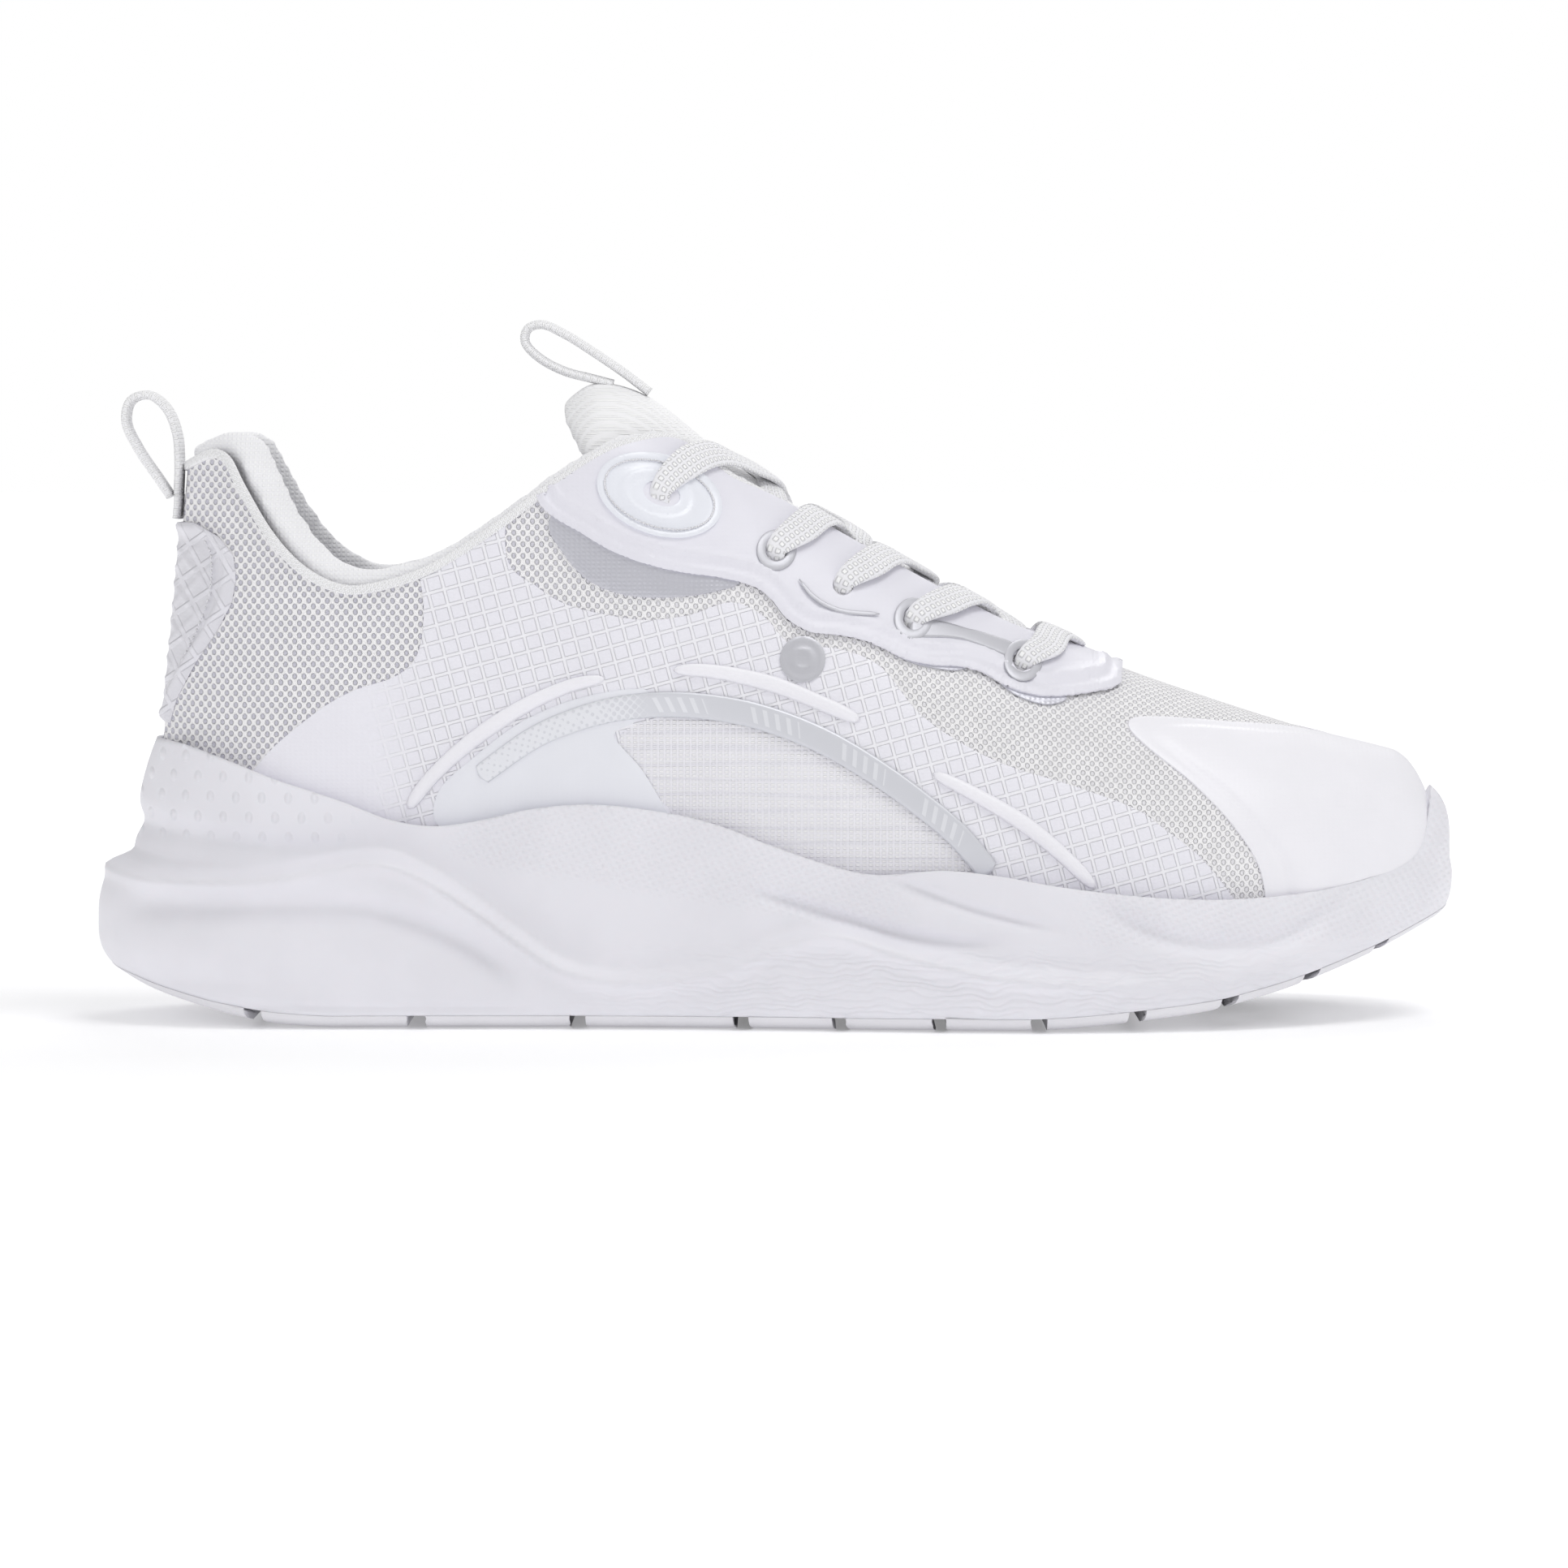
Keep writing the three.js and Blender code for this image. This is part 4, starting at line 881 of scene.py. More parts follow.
@dataclass(frozen=True)
class PrintedBand:
    """The silver band: a halftone fade at the rear and slanted light marks along it.

    Attributes:
        colour: the silver's colour, 0 to 255.
        light: the colour of the marks and of the cloth under the halftone.
    """

    colour: tuple[float, float, float] = (222, 223, 229)
    light: tuple[float, float, float] = (236, 237, 242)

    def build(self) -> Material:
        """Makes the material.

        Returns:
            The material.
        """
        nodes = Nodes("arc_silver")
        u, v, _ = nodes.axes(nodes.place(Space.PATTERN, (1, 1, 1)))
        slant = nodes.plus(u, nodes.times(v, 0.5))
        bars = nodes.ramp(nodes.wave(nodes.times(slant, 1 / 2.6)), 0.62, 0.72)
        groups = nodes.ramp(nodes.wave(nodes.times(slant, 1 / 20.8)), 0.4, 0.46)
        inner = nodes.ramp(nodes.math("ABSOLUTE", v), 1.65, 1.5)
        marks = nodes.times(nodes.times(bars, groups), inner)
        dots = nodes.place(Space.PATTERN, (1.3, 1.3, 1.3), (0, 0, 45))
        du, dv, _ = nodes.axes(dots)
        dot = nodes.times(nodes.wave(du), nodes.wave(dv))
        solid = nodes.ramp(u, 12.0, 62.0)
        ink = nodes.ramp(nodes.plus(dot, nodes.times(solid, 1.1)), 0.55, 0.68)
        silver = nodes.mix(marks, linear(*self.colour), linear(*self.light))
        nodes.link(nodes.shader.inputs["Base Color"], nodes.mix(ink, linear(*self.light), silver))
        nodes.bump(nodes.noise(nodes.place(Space.OBJECT, (3, 3, 3)), 1.0, 3.0), 0.05)
        nodes.surface(0.4, Metallic=0.25, Specular_IOR_Level=0.45)
        return nodes.material


@dataclass(frozen=True)
class Film:
    """A thin welded or printed film over the cloth.

    Attributes:
        name: the material's name.
        colour: its colour, 0 to 255.
        metal: how metallic it is.
        rough: its roughness.
        grid: the pitch of an embossed grid in millimetres, or 0; its raised lines carry a painted highlight.
        grid_turn: how that grid is turned, in degrees.
        show: how strongly the cloth beneath shows through.
        grid_limits: x in the frame's millimetres between which the grid fades in.
        coat: how strong its clear coat is.
    """

    name: str
    colour: tuple[float, float, float]
    metal: float = 0.0
    rough: float = 0.42
    grid: float = 0.0
    grid_turn: float = 15.0
    show: float = 0.3
    grid_limits: tuple[float, float] = (-60.0, -30.0)
    coat: float = 0.0

    def build(self) -> Material:
        """Makes the material.

        Returns:
            The material.
        """
        nodes = Nodes(self.name)
        cloth = nodes.place(Space.OBJECT, (1.1, 1.1, 0.9))
        cu, _, cw = nodes.axes(cloth)
        knit = nodes.times(nodes.wave(cw), nodes.wave(cu))
        soft = nodes.noise(nodes.place(Space.OBJECT, (12, 12, 12)), 1.0, 3.0)
        height = nodes.plus(nodes.times(knit, 0.25 * self.show), nodes.times(soft, 0.4))
        colour = nodes.tint(nodes.ramp(soft, 0.3, 0.7), self.colour, 0.98)
        if self.grid > 0:
            at = nodes.place(Space.OBJECT, (self.grid,) * 3, (0, self.grid_turn, 0))
            gu, _, gw = nodes.axes(at)
            lines = nodes.greater(
                nodes.ramp(nodes.wave(gu), 0.82, 0.97), nodes.ramp(nodes.wave(gw), 0.82, 0.97)
            )
            x, _, _ = nodes.axes(nodes.place(Space.OBJECT, (1, 1, 1)))
            lines = nodes.times(lines, nodes.ramp(x, *self.grid_limits))
            height = nodes.plus(height, nodes.times(lines, 0.9))
            # Painted highlight: the raised grid lines are coloured lighter, as where they catch the light.
            bright = [min(1.0, c * 1.18) for c in linear(*self.colour)]
            colour = nodes.mix(nodes.times(lines, 0.35), colour, bright)
        nodes.link(nodes.shader.inputs["Base Color"], colour)
        nodes.bump(height, 0.28)
        nodes.surface(
            self.rough, Metallic=self.metal, Coat_Weight=self.coat, Coat_Roughness=0.3,
            Specular_IOR_Level=0.45
        )
        return nodes.material


@dataclass(frozen=True)
class Rubber:
    """Moulded rubber, with a fine grain and rubbed high places.

    Attributes:
        name: the material's name.
        colour: its colour, 0 to 255.
        grain: the size of the grain, in millimetres.
        rough: its roughness.
    """

    name: str
    colour: tuple[float, float, float]
    grain: float = 0.5
    rough: float = 0.5

    def build(self) -> Material:
        """Makes the material.

        Returns:
            The material.
        """
        nodes = Nodes(self.name)
        grain = nodes.noise(nodes.place(Space.OBJECT, (self.grain,) * 3), 1.0, 3.0)
        patch = nodes.noise(nodes.place(Space.OBJECT, (14, 14, 14)), 1.0, 3.0)
        nodes.link(nodes.shader.inputs["Base Color"], nodes.tint(patch, self.colour, 0.93))
        nodes.bump(grain, 0.05)
        nodes.surface(nodes.plus(nodes.times(patch, 0.16), self.rough - 0.08), Specular_IOR_Level=0.4)
        return nodes.material


@dataclass(frozen=True)
class Foam:
    """The moulded midsole: satin skin, dots at the heel, fine hatching and wrinkles elsewhere.

    Attributes:
        colour: its colour, 0 to 255.
        name: the material's name.
    """

    colour: tuple[float, float, float] = (241, 240, 246)
    name: str = "midsole_skin"

    def build(self) -> Material:
        """Makes the material.

        Returns:
            The material.
        """
        nodes = Nodes(self.name)
        u, v, _ = nodes.axes(nodes.place(Space.PATTERN, (1, 1, 1)))
        height = nodes.plus(self.dots(nodes, u, v), self.hatch(nodes, u, v))
        height = nodes.plus(height, self.wrinkles(nodes, u, v))
        soft = nodes.noise(nodes.place(Space.OBJECT, (22, 22, 22)), 1.0, 4.0)
        height = nodes.plus(height, nodes.times(soft, 0.5))
        colour = nodes.tint(nodes.ramp(soft, 0.35, 0.65), self.colour, 0.965)
        nodes.link(nodes.shader.inputs["Base Color"], colour)
        nodes.bump(height, 0.42)
        nodes.surface(
            0.47, Subsurface_Weight=0.08, Subsurface_Radius=(0.004, 0.003, 0.003), Subsurface_Scale=1.0,
            Specular_IOR_Level=0.42,
        )
        return nodes.material

    @staticmethod
    def dots(nodes: Nodes, u: Socket, v: Socket) -> Socket:
        """Raised dots in staggered rows over the heel cup.

        Args:
            nodes: the material's nodes.
            u: the pattern along the shoe, in millimetres.
            v: the pattern up the wall, in millimetres.

        Returns:
            The result.
        """
        across = nodes.times(u, 1 / 5.7)
        up = nodes.times(v, 1 / 8.6)
        first = nodes.times(nodes.wave(across), nodes.wave(up))
        moved = nodes.times(nodes.wave(nodes.plus(across, 0.5)), nodes.wave(nodes.plus(up, 0.5)))
        dots = nodes.ramp(nodes.greater(first, moved), 0.74, 1.12)
        rear = nodes.minus(1.0, nodes.ramp(u, 48.0, 66.0))
        high = nodes.ramp(v, 38.5, 41.5)
        return nodes.times(dots, nodes.times(rear, high))

    @staticmethod
    def hatch(nodes: Nodes, u: Socket, v: Socket) -> Socket:
        """Fine crossed lines beside the bite line at the waist and over the forefoot.

        Args:
            nodes: the material's nodes.
            u: the pattern along the shoe, in millimetres.
            v: the pattern up the wall, in millimetres.

        Returns:
            The result.
        """
        one = nodes.wave(nodes.times(nodes.plus(u, nodes.times(v, 0.6)), 1 / 1.7))
        two = nodes.wave(nodes.times(nodes.minus(v, nodes.times(u, 0.35)), 1 / 1.5))
        lines = nodes.times(one, two)
        waist = nodes.times(nodes.ramp(u, 72, 88), nodes.minus(1.0, nodes.ramp(u, 165, 184)))
        slope = nodes.plus(nodes.times(u, -0.16), 47.0)
        high = nodes.ramp(nodes.minus(v, slope), 0.0, 4.0)
        front = nodes.times(nodes.ramp(u, 208, 222), nodes.ramp(v, 17.0, 20.0))
        where = nodes.greater(nodes.times(waist, high), front)
        return nodes.times(nodes.times(lines, where), 0.42)

    @staticmethod
    def wrinkles(nodes: Nodes, u: Socket, v: Socket) -> Socket:
        """Fine wavy wrinkles low on the wall.

        Args:
            nodes: the material's nodes.
            u: the pattern along the shoe, in millimetres.
            v: the pattern up the wall, in millimetres.

        Returns:
            The result.
        """
        wander = nodes.noise(nodes.place(Space.PATTERN, (11, 7, 7)), 1.0, 2.0)
        lines = nodes.wave(nodes.plus(nodes.times(v, 1 / 1.35), nodes.times(wander, 5.0)))
        low = nodes.minus(1.0, nodes.ramp(v, 13.0, 21.0))
        middle = nodes.ramp(u, 95, 150)
        return nodes.times(nodes.times(lines, 0.3), nodes.times(low, middle))


class Finishes:
    """Every finish of the shoe, made once."""

    def __init__(self) -> None:
        """Builds the materials."""
        self.midsole = Foam().build()
        self.outsole = Rubber("outsole_rubber_skin", (238, 237, 241), 0.5, 0.55).build()
        self.mesh = AirMesh("engineered_mesh", (255, 254, 255), (194, 193, 208)).build()
        self.lining = Cloth(
            "lining_knit", (246, 246, 249), (205, 205, 212), Weave(1.6, 1.0, 0.7, 0.35)
        ).build()
        self.board = Cloth(
            "strobel_weave", (232, 231, 233), (190, 189, 194), Weave(1.4, 1.4, 0.5, 0.3), Space.OBJECT
        ).build()
        self.insole = Cloth(
            "sockliner_knit", (240, 240, 244), (196, 196, 206), Weave(1.2, 1.0, 0.6, 0.4), Space.OBJECT
        ).build()
        self.tongue = Cloth(
            "tongue_knit", (255, 255, 255), (236, 235, 242), Weave(2.3, 0.8, 0.45, 0.22), Space.OBJECT,
            fuzz=0.1, across=1
        ).build()
        self.lace = Cloth(
            "flat_lace", (255, 255, 255), (224, 223, 233), Weave(1.8, 1.6, 1.0, 0.36), fuzz=0.1
        ).build()
        self.webbing = Cloth(
            "webbing", (255, 255, 255), (230, 229, 238), Weave(1.0, 0.8, 0.45, 0.22), diagonal=True,
            fuzz=0.1
        ).build()
        self.cage = Film(
            "cage_film_skin", (243, 242, 249), 0.0, 0.4, grid=3.5, show=0.5, grid_limits=(-92.0, -72.0)
        ).build()
        self.toe = Film("toe_film_skin", (249, 248, 253), 0.0, 0.38, show=0.35).build()
        self.patch = Film(
            "heel_patch_skin", (228, 227, 233), 0.05, 0.46, grid=5.5, grid_turn=32.0, show=0.2,
            grid_limits=(-150, -149)
        ).build()
        self.stretch = Cloth(
            "stretch_knit", (254, 253, 255), (222, 221, 235), Weave(1.4, 0.9, 0.45, 0.28), Space.OBJECT,
            lines=3.4
        ).build()
        self.silver = PrintedBand().build()
        self.bright = Film("silver_trim_skin", (204, 204, 210), 0.35, 0.42, show=0.1).build()
        self.underlay = Film("underlay_silver", (206, 206, 214), 0.45, 0.4, show=0.7).build()
        self.eyestay = Film("eyestay_film_skin", (237, 236, 244), 0.0, 0.4, show=0.25).build()
        self.clear = Film("clear_patch_skin", (241, 243, 250), 0.0, 0.3, show=0.2, coat=0.35).build()
        self.flap = Film("smooth_flap", (240, 241, 247), 0.05, 0.35, show=0.15).build()
        self.thread = Cloth(
            "stitch_thread", (250, 250, 252), (214, 213, 222), Weave(0.8, 0.8, 0.5, 0.4), Space.OBJECT
        ).build()
        self.stiff = Film("stiffener_skin", (235, 234, 238), 0.0, 0.6, show=0.2).build()
        self.padding = Cloth(
            "padding_face", (254, 254, 255), (232, 231, 238), Weave(1.0, 1.0, 0.3, 0.3), Space.OBJECT,
            fuzz=0.1
        ).build()


def dress(piece: Piece, material: Material) -> None:
    """Gives a piece its only material."""
    piece.data.materials.clear()
    piece.data.materials.append(material)


# ---- The sole -------------------------------------------------------------------------------------------


@dataclass
class Sole:
    """The moulded midsole with its sculpted wall, and the rubber blocks under it.

    Attributes:
        heel_round: the radius of the heel's outline.
        toe_round: the radius of the toe's outline.
        rubber: how thick the outsole blocks are.
        columns: faces from heel to toe on each side.
        bottom_rows: faces across the bottom, from the middle line to the wall.
        wall_rows: faces up the wall.
        inside_rows: faces over the rim and down inside.
        width: half the sole's width.
        tread: how high the sole's underside is.
        bite: the top of the wall.
        shelf: the height of the wall's overhanging shelf.
        shelf_depth: how far the wall steps in above it.
        rim_depth: how far in the top of the wall is.
        cup_groove: a groove across the heel cup.
        low_valley: the deep valley under the heel's shelf.
        waist_crease: the crease that runs from the waist to the ball.
        ball_crease: the shorter crease above it.
        toe_valley: the shallow valley under the toes.
        bottom_roll: how the wall turns under, by height above the tread.
        blocks: each outsole block's node, and where it starts and ends.
    """

    heel_round: float = 42.0
    toe_round: float = 58.0
    rubber: float = 3.0
    columns: int = 260
    bottom_rows: int = 8
    wall_rows: int = 56
    inside_rows: int = 14
    blocks: dict[str, tuple[float, float]] = field(
        default_factory=lambda: {
            "outsole_heel_rear": (0.0, 33.9),
            "outsole_heel_middle": (38.1, 69.7),
            "outsole_heel_front": (73.6, 104.6),
            "outsole_waist_ribs": (107.8, 139.3),
            "outsole_ball_rear": (142.6, 160.4),
            "outsole_ball_middle": (163.2, 181.8),
            "outsole_ball_front": (184.6, 202.9),
            "outsole_forefoot_rear": (206.4, 224.0),
            "outsole_forefoot_front": (227.8, 244.2),
            "outsole_toe_rear": (248.0, 262.7),
            "outsole_toe_middle": (266.3, 279.0),
            "outsole_toe_tip": (282.3, 298.0),
        }
    )

    width = Line(
        (0, 42), (20, 42), (45, 42.5), (75, 41.5), (105, 40.5), (130, 42), (160, 46.5), (190, 51.5),
        (210, 53.5), (235, 52.5), (260, 49), (298, 44)
    )
    tread = Line(
        (0, 9), (5, 7.6), (10, 6.2), (18, 4.4), (28, 2.4), (40, 0.8), (52, 0), (60, 0), (190, 0),
        (207, 0.2), (223, 1.4), (242, 3.6), (249, 5), (261, 8), (278, 13.6), (291, 18.6), (298, 21)
    )
    bite = Line(
        (0, 62), (14, 61.5), (26.5, 58.8), (40, 54.7), (56, 49.5), (66, 45.6), (75, 44.2), (84, 45.2),
        (96, 47.9), (108, 49), (120, 48), (134, 45.2), (149, 39.6), (161.5, 35.5), (167, 34.3), (172, 34.1),
        (184, 35.1), (196, 33.9), (208, 31.8), (225, 29.6), (239, 28.6), (253, 28.6), (267, 29.6),
        (277, 31.3), (287, 34.0), (292, 37.2), (295, 42.2), (296.8, 47.5), (298, 50.4)
    )
    shelf = Line(
        (0, 34.5), (9, 33), (18, 32.4), (35, 32.7), (45, 33.9), (56, 36), (64.5, 36.5), (73, 33.4),
        (84, 26.5), (94, 19.2), (103, 13.5), (118, 11), (135, 13), (150, 19.2), (158, 21.6), (165, 20.8),
        (174, 17.8), (191, 13.7), (208, 11.6), (234, 11.5), (265, 17), (298, 32)
    )
    shelf_depth = Line(
        (0, 7), (20, 6.5), (65, 5.5), (85, 4.2), (103, 2), (118, 1), (140, 1.2), (155, 2.8), (175, 3),
        (208, 2.4), (234, 1.4), (255, 0.5), (298, 0.5)
    )
    rim_depth = Line(
        (0, 12.5), (20, 8), (45, 5.5), (75, 4.5), (105, 3.2), (130, 3), (160, 3.2), (190, 3.6), (220, 4),
        (260, 4), (286, 3.6), (298, 5.4)
    )
    cup_groove = Line((0, 43), (18, 41), (45, 38.5), (75, 41))
    low_valley = Line((10, 26), (56, 26), (66, 24.4), (80, 19.2), (94, 10.6))
    waist_crease = Line((144, 29.6), (156.3, 26.1), (170, 21.8), (182, 19.6), (196, 18.7))
    ball_crease = Line((173.6, 32.2), (180.5, 29.6), (190.9, 26.1), (201.3, 23.5), (209, 21.8))
    toe_valley = Line(
        (215, 27.9), (225.5, 22.7), (236, 19.2), (248, 18.3), (258.4, 19.6), (268.7, 24.4), (275.7, 28.7)
    )
    bottom_roll = Line((0, -9), (0.4, -6), (1, -3.6), (2, -2), (3.6, -1), (6, -0.3), (9.5, 0))

    def plan(self, side: Array | int, turn: Array) -> Array:
        """The outline on the ground.

        Args:
            side: LATERAL or MEDIAL.
            turn: the place from heel to toe, 0 to pi.

        Returns:
            The values.
        """
        x = SOLE_LENGTH * (1 - np.cos(turn)) / 2
        heel = np.sqrt(1 - np.clip(1 - x / self.heel_round, 0, 1) ** 2)
        toe = np.sqrt(1 - np.clip(1 - (SOLE_LENGTH - x) / self.toe_round, 0, 1) ** 2)
        return np.stack(np.broadcast_arrays(x, Last.centre(x) + side * self.width(x) * heel * toe), axis=-1)

    def wall(self, x: Array, z: Array) -> Array:
        """How far the wall stands out from the outline on the ground.

        Args:
            x: the place along the shoe.
            z: the height above the ground.

        Returns:
            The values.
        """
        above = smooth(z - self.shelf(x), -1.2, 2.6)
        climb = np.clip((z - self.shelf(x)) / (self.bite(x) - self.shelf(x)), 0, 1)
        upper = lerp(self.shelf_depth(x), self.rim_depth(x), climb ** lerp(2.2, 5.0, smooth(x, 284, 295)))
        groove = 1.8 * bell(z - self.cup_groove(x), 3) * (1 - smooth(x, 40, 75))
        out = -above * (upper + groove)
        out += 1.3 * bell(z - self.shelf(x) + 0.9, 2.0) * (1 - smooth(x, 205, 235))
        out -= 2.8 * bell(z - self.low_valley(x), 3.4) * smooth(x, 4, 16) * (1 - smooth(x, 84, 97))
        out -= 1.9 * bell(z - self.waist_crease(x), 1.5) * smooth(x, 138, 152) * (1 - smooth(x, 184, 200))
        out -= 1.5 * bell(z - self.ball_crease(x), 1.3) * smooth(x, 168, 180) * (1 - smooth(x, 198, 213))
        out -= 2.1 * bell(z - self.toe_valley(x), 2.6) * smooth(x, 212, 228) * (1 - smooth(x, 262, 280))
        out -= 0.5 * bell(z - 4.9, 0.55) * smooth(x, 18, 30) * (1 - smooth(x, 88, 100))
        back = 1 - smooth(x, 14, 62)
        high = 4.4 * np.clip((z - 23) / 13, 0, 1) ** 2 * (1 - 0.8 * above)
        low = 2.6 * np.clip((19 - z) / 9, 0, 1) ** 2
        out -= back * (high + low)
        return out + self.bottom_roll(z - self.tread(x))

    def wall_point(self, side: Array, turn: Array, out: Array, z: Array) -> Array:
        """A point of the wall, `out` millimetres outside the outline on the ground.

        Args:
            side: LATERAL or MEDIAL.
            turn: the place from heel to toe, 0 to pi.
            out: the distance outwards.
            z: the height above the ground.

        Returns:
            The values.
        """
        step = 1e-3
        along = self.plan(side, turn + step) - self.plan(side, turn - step)
        along = unit_rows(along)
        normal = np.stack([along[..., 1], -along[..., 0]], axis=-1) * -np.asarray(side)[..., None]
        end = np.isclose(turn, 0.0) | np.isclose(turn, math.pi)
        straight = np.stack([np.where(turn < 1, -1.0, 1.0), np.zeros_like(turn)], axis=-1)
        normal = np.where(end[..., None], straight, normal)
        return np.concatenate([self.plan(side, turn) + normal * out[..., None], z[..., None]], axis=-1)

    def section(self, side: Array, turn: Array, row: Array) -> tuple[Array, Array]:
        """Places a ring's vertices: across the bottom, up the wall, over the rim and down inside.

        Args:
            side: LATERAL or MEDIAL for each vertex.
            turn: the place from heel to toe.
            row: the place around the section.

        Returns:
            The points, and the height that the wall pattern reads.
        """
        x = SOLE_LENGTH * (1 - np.cos(turn)) / 2
        floor = self.tread(x) + self.rubber + 0.03
        rise = np.clip((row - self.bottom_rows) / self.wall_rows, 0, 1)
        z = lerp(floor, self.bite(x), rise)
        wall = self.wall_point(side, turn, self.wall(x, z) - 0.7 * smooth(rise, 0.985, 1.0), z)
        middle = np.stack([wall[:, 0], Last.centre(x), floor], axis=-1)
        under = lerp(middle, wall, np.clip(row / self.bottom_rows, 0, 1)[:, None])
        share = np.clip(Last.share_at(x), 0.0, 1.0)
        down = np.clip((row - self.bottom_rows - self.wall_rows) / self.inside_rows, 0, 1)
        top = Last.v_at_height(share, np.maximum(self.bite(x) - 1.2, Last.footbed(x) + 0.3))
        lip = Last.point(side, share, top * (1 - np.clip(down * 2 - 0.14, 0, 1)), -0.7)
        inner = lip.copy()
        inner[:, 1] = lerp(lip[:, 1], Last.centre(x), np.clip(down * 2 - 1, 0, 1))
        points = np.where((row <= self.bottom_rows)[:, None], under, wall)
        return np.where((row > self.bottom_rows + self.wall_rows)[:, None], inner, points), z

    def midsole(self, finishes: Finishes) -> Piece:
        """The whole midsole, in one piece from heel to toe.

        Args:
            finishes: the shoe's finishes.

        Returns:
            The piece.
        """
        rows = self.bottom_rows + self.wall_rows + self.inside_rows
        bm, at, side = Bench.both_sides(self.columns, rows)
        points, z = self.section(side, at[:, 0] * math.pi, at[:, 1] * rows)
        uv = np.stack([points[:, 0], z], axis=-1)
        piece = Bench.finish("midsole_moulded", bm, points, uv, 8e-5)
        fit(piece, finishes.midsole, "midsole_foam", BENDS, "midsole_rear", "midsole_forefoot")
        return piece

    def block(self, name: str, start: float, end: float, finishes: Finishes) -> Piece:
        """One outsole block with a grooved tread.

        Args:
            name: the node it stands for.
            start: its rear edge.
            end: its front edge.
            finishes: the shoe's finishes.

        Returns:
            The block.
        """
        under, wall_rows, over = 10, 7, 5
        bm, at, side = Bench.both_sides(56, under + wall_rows + over)
        turn = np.arccos(1 - 2 * np.clip(lerp(start, end, at[:, 0]), 0, SOLE_LENGTH) / SOLE_LENGTH)
        row = at[:, 1] * (under + wall_rows + over)
        x = SOLE_LENGTH * (1 - np.cos(turn)) / 2
        z = self.tread(x) + self.rubber * np.clip((row - under) / wall_rows, 0, 1)
        wall = self.wall_point(side, turn, self.wall(x, z) + 0.1, z)
        middle = np.stack([wall[:, 0], Last.centre(x), self.tread(x)], axis=-1)
        across = np.clip(row / under, 0, 1)
        low = lerp(middle, wall, across[:, None])
        grooves = 0.9 * lattice(low[:, 1], low[:, 0] * 0.6, 9, 0.9)
        low[:, 2] += grooves * (across < 0.93) * smooth(x - start, 0.6, 1.6) * smooth(end - x, 0.6, 1.6)
        inwards = np.clip((row - under - wall_rows) / over, 0, 1)[:, None]
        top = lerp(wall, np.stack([wall[:, 0], Last.centre(x), z], axis=-1), inwards)
        points = np.where((row <= under)[:, None], low, top)
        piece = Bench.finish(f"{name}_tread", bm, points)
        cap_holes(piece)
        rim = piece.modifiers.new("edge", "BEVEL")
        rim.width = 0.0002
        rim.segments = 2
        rim.limit_method = "ANGLE"
        rim.angle_limit = math.radians(45)
        fit(piece, finishes.outsole, "outsole_rubber", "rearfoot" if end < FLEX_X else "forefoot", name)
        return piece

    def build(self, finishes: Finishes) -> None:
        """Makes the midsole and every block.

        Args:
            finishes: the shoe's finishes.
        """
        self.midsole(finishes)
        for name, (start, end) in self.blocks.items():
            self.block(name, start, end, finishes)
        log.info("sole: midsole and %d outsole blocks", len(self.blocks))


def cap_holes(piece: Piece) -> None:
    """Closes a piece's open ends with faces.

    Args:
        piece: the piece.
    """
    bm = bmesh.new()
    bm.from_mesh(piece.data)
    bmesh.ops.holes_fill(bm, edges=[e for e in bm.edges if e.is_boundary], sides=0)
    bmesh.ops.recalc_face_normals(bm, faces=bm.faces[:])
    bm.to_mesh(piece.data)
    bm.free()


def bend(piece: Piece) -> None:
    """Bakes a piece's transform into its mesh; it gets no bend at the ball of the foot."""
    start, end = tuple(Bench.place(BEND_START)), tuple(Bench.place(BEND_END))
    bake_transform(piece)


def fit(piece: Piece, finish: Material, slot: str, body: str, *nodes: str) -> None:
    """Dresses a piece and fixes it to the shoe.

    Args:
        piece: the piece.
        finish: its material.
        slot: the record's slot that the finish stands for; not used.
        body: the body that it rides on, or BENDS for a piece across the ball of the foot, which is only baked
            in place, with no body, and does not bend.
        nodes: the nodes that it stands for.
    """
    dress(piece, finish)
    if nodes:
        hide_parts(*nodes)
    if body == BENDS:
        bend(piece)
    else:
        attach(piece, body)


# ---- The upper ------------------------------------------------------------------------------------------


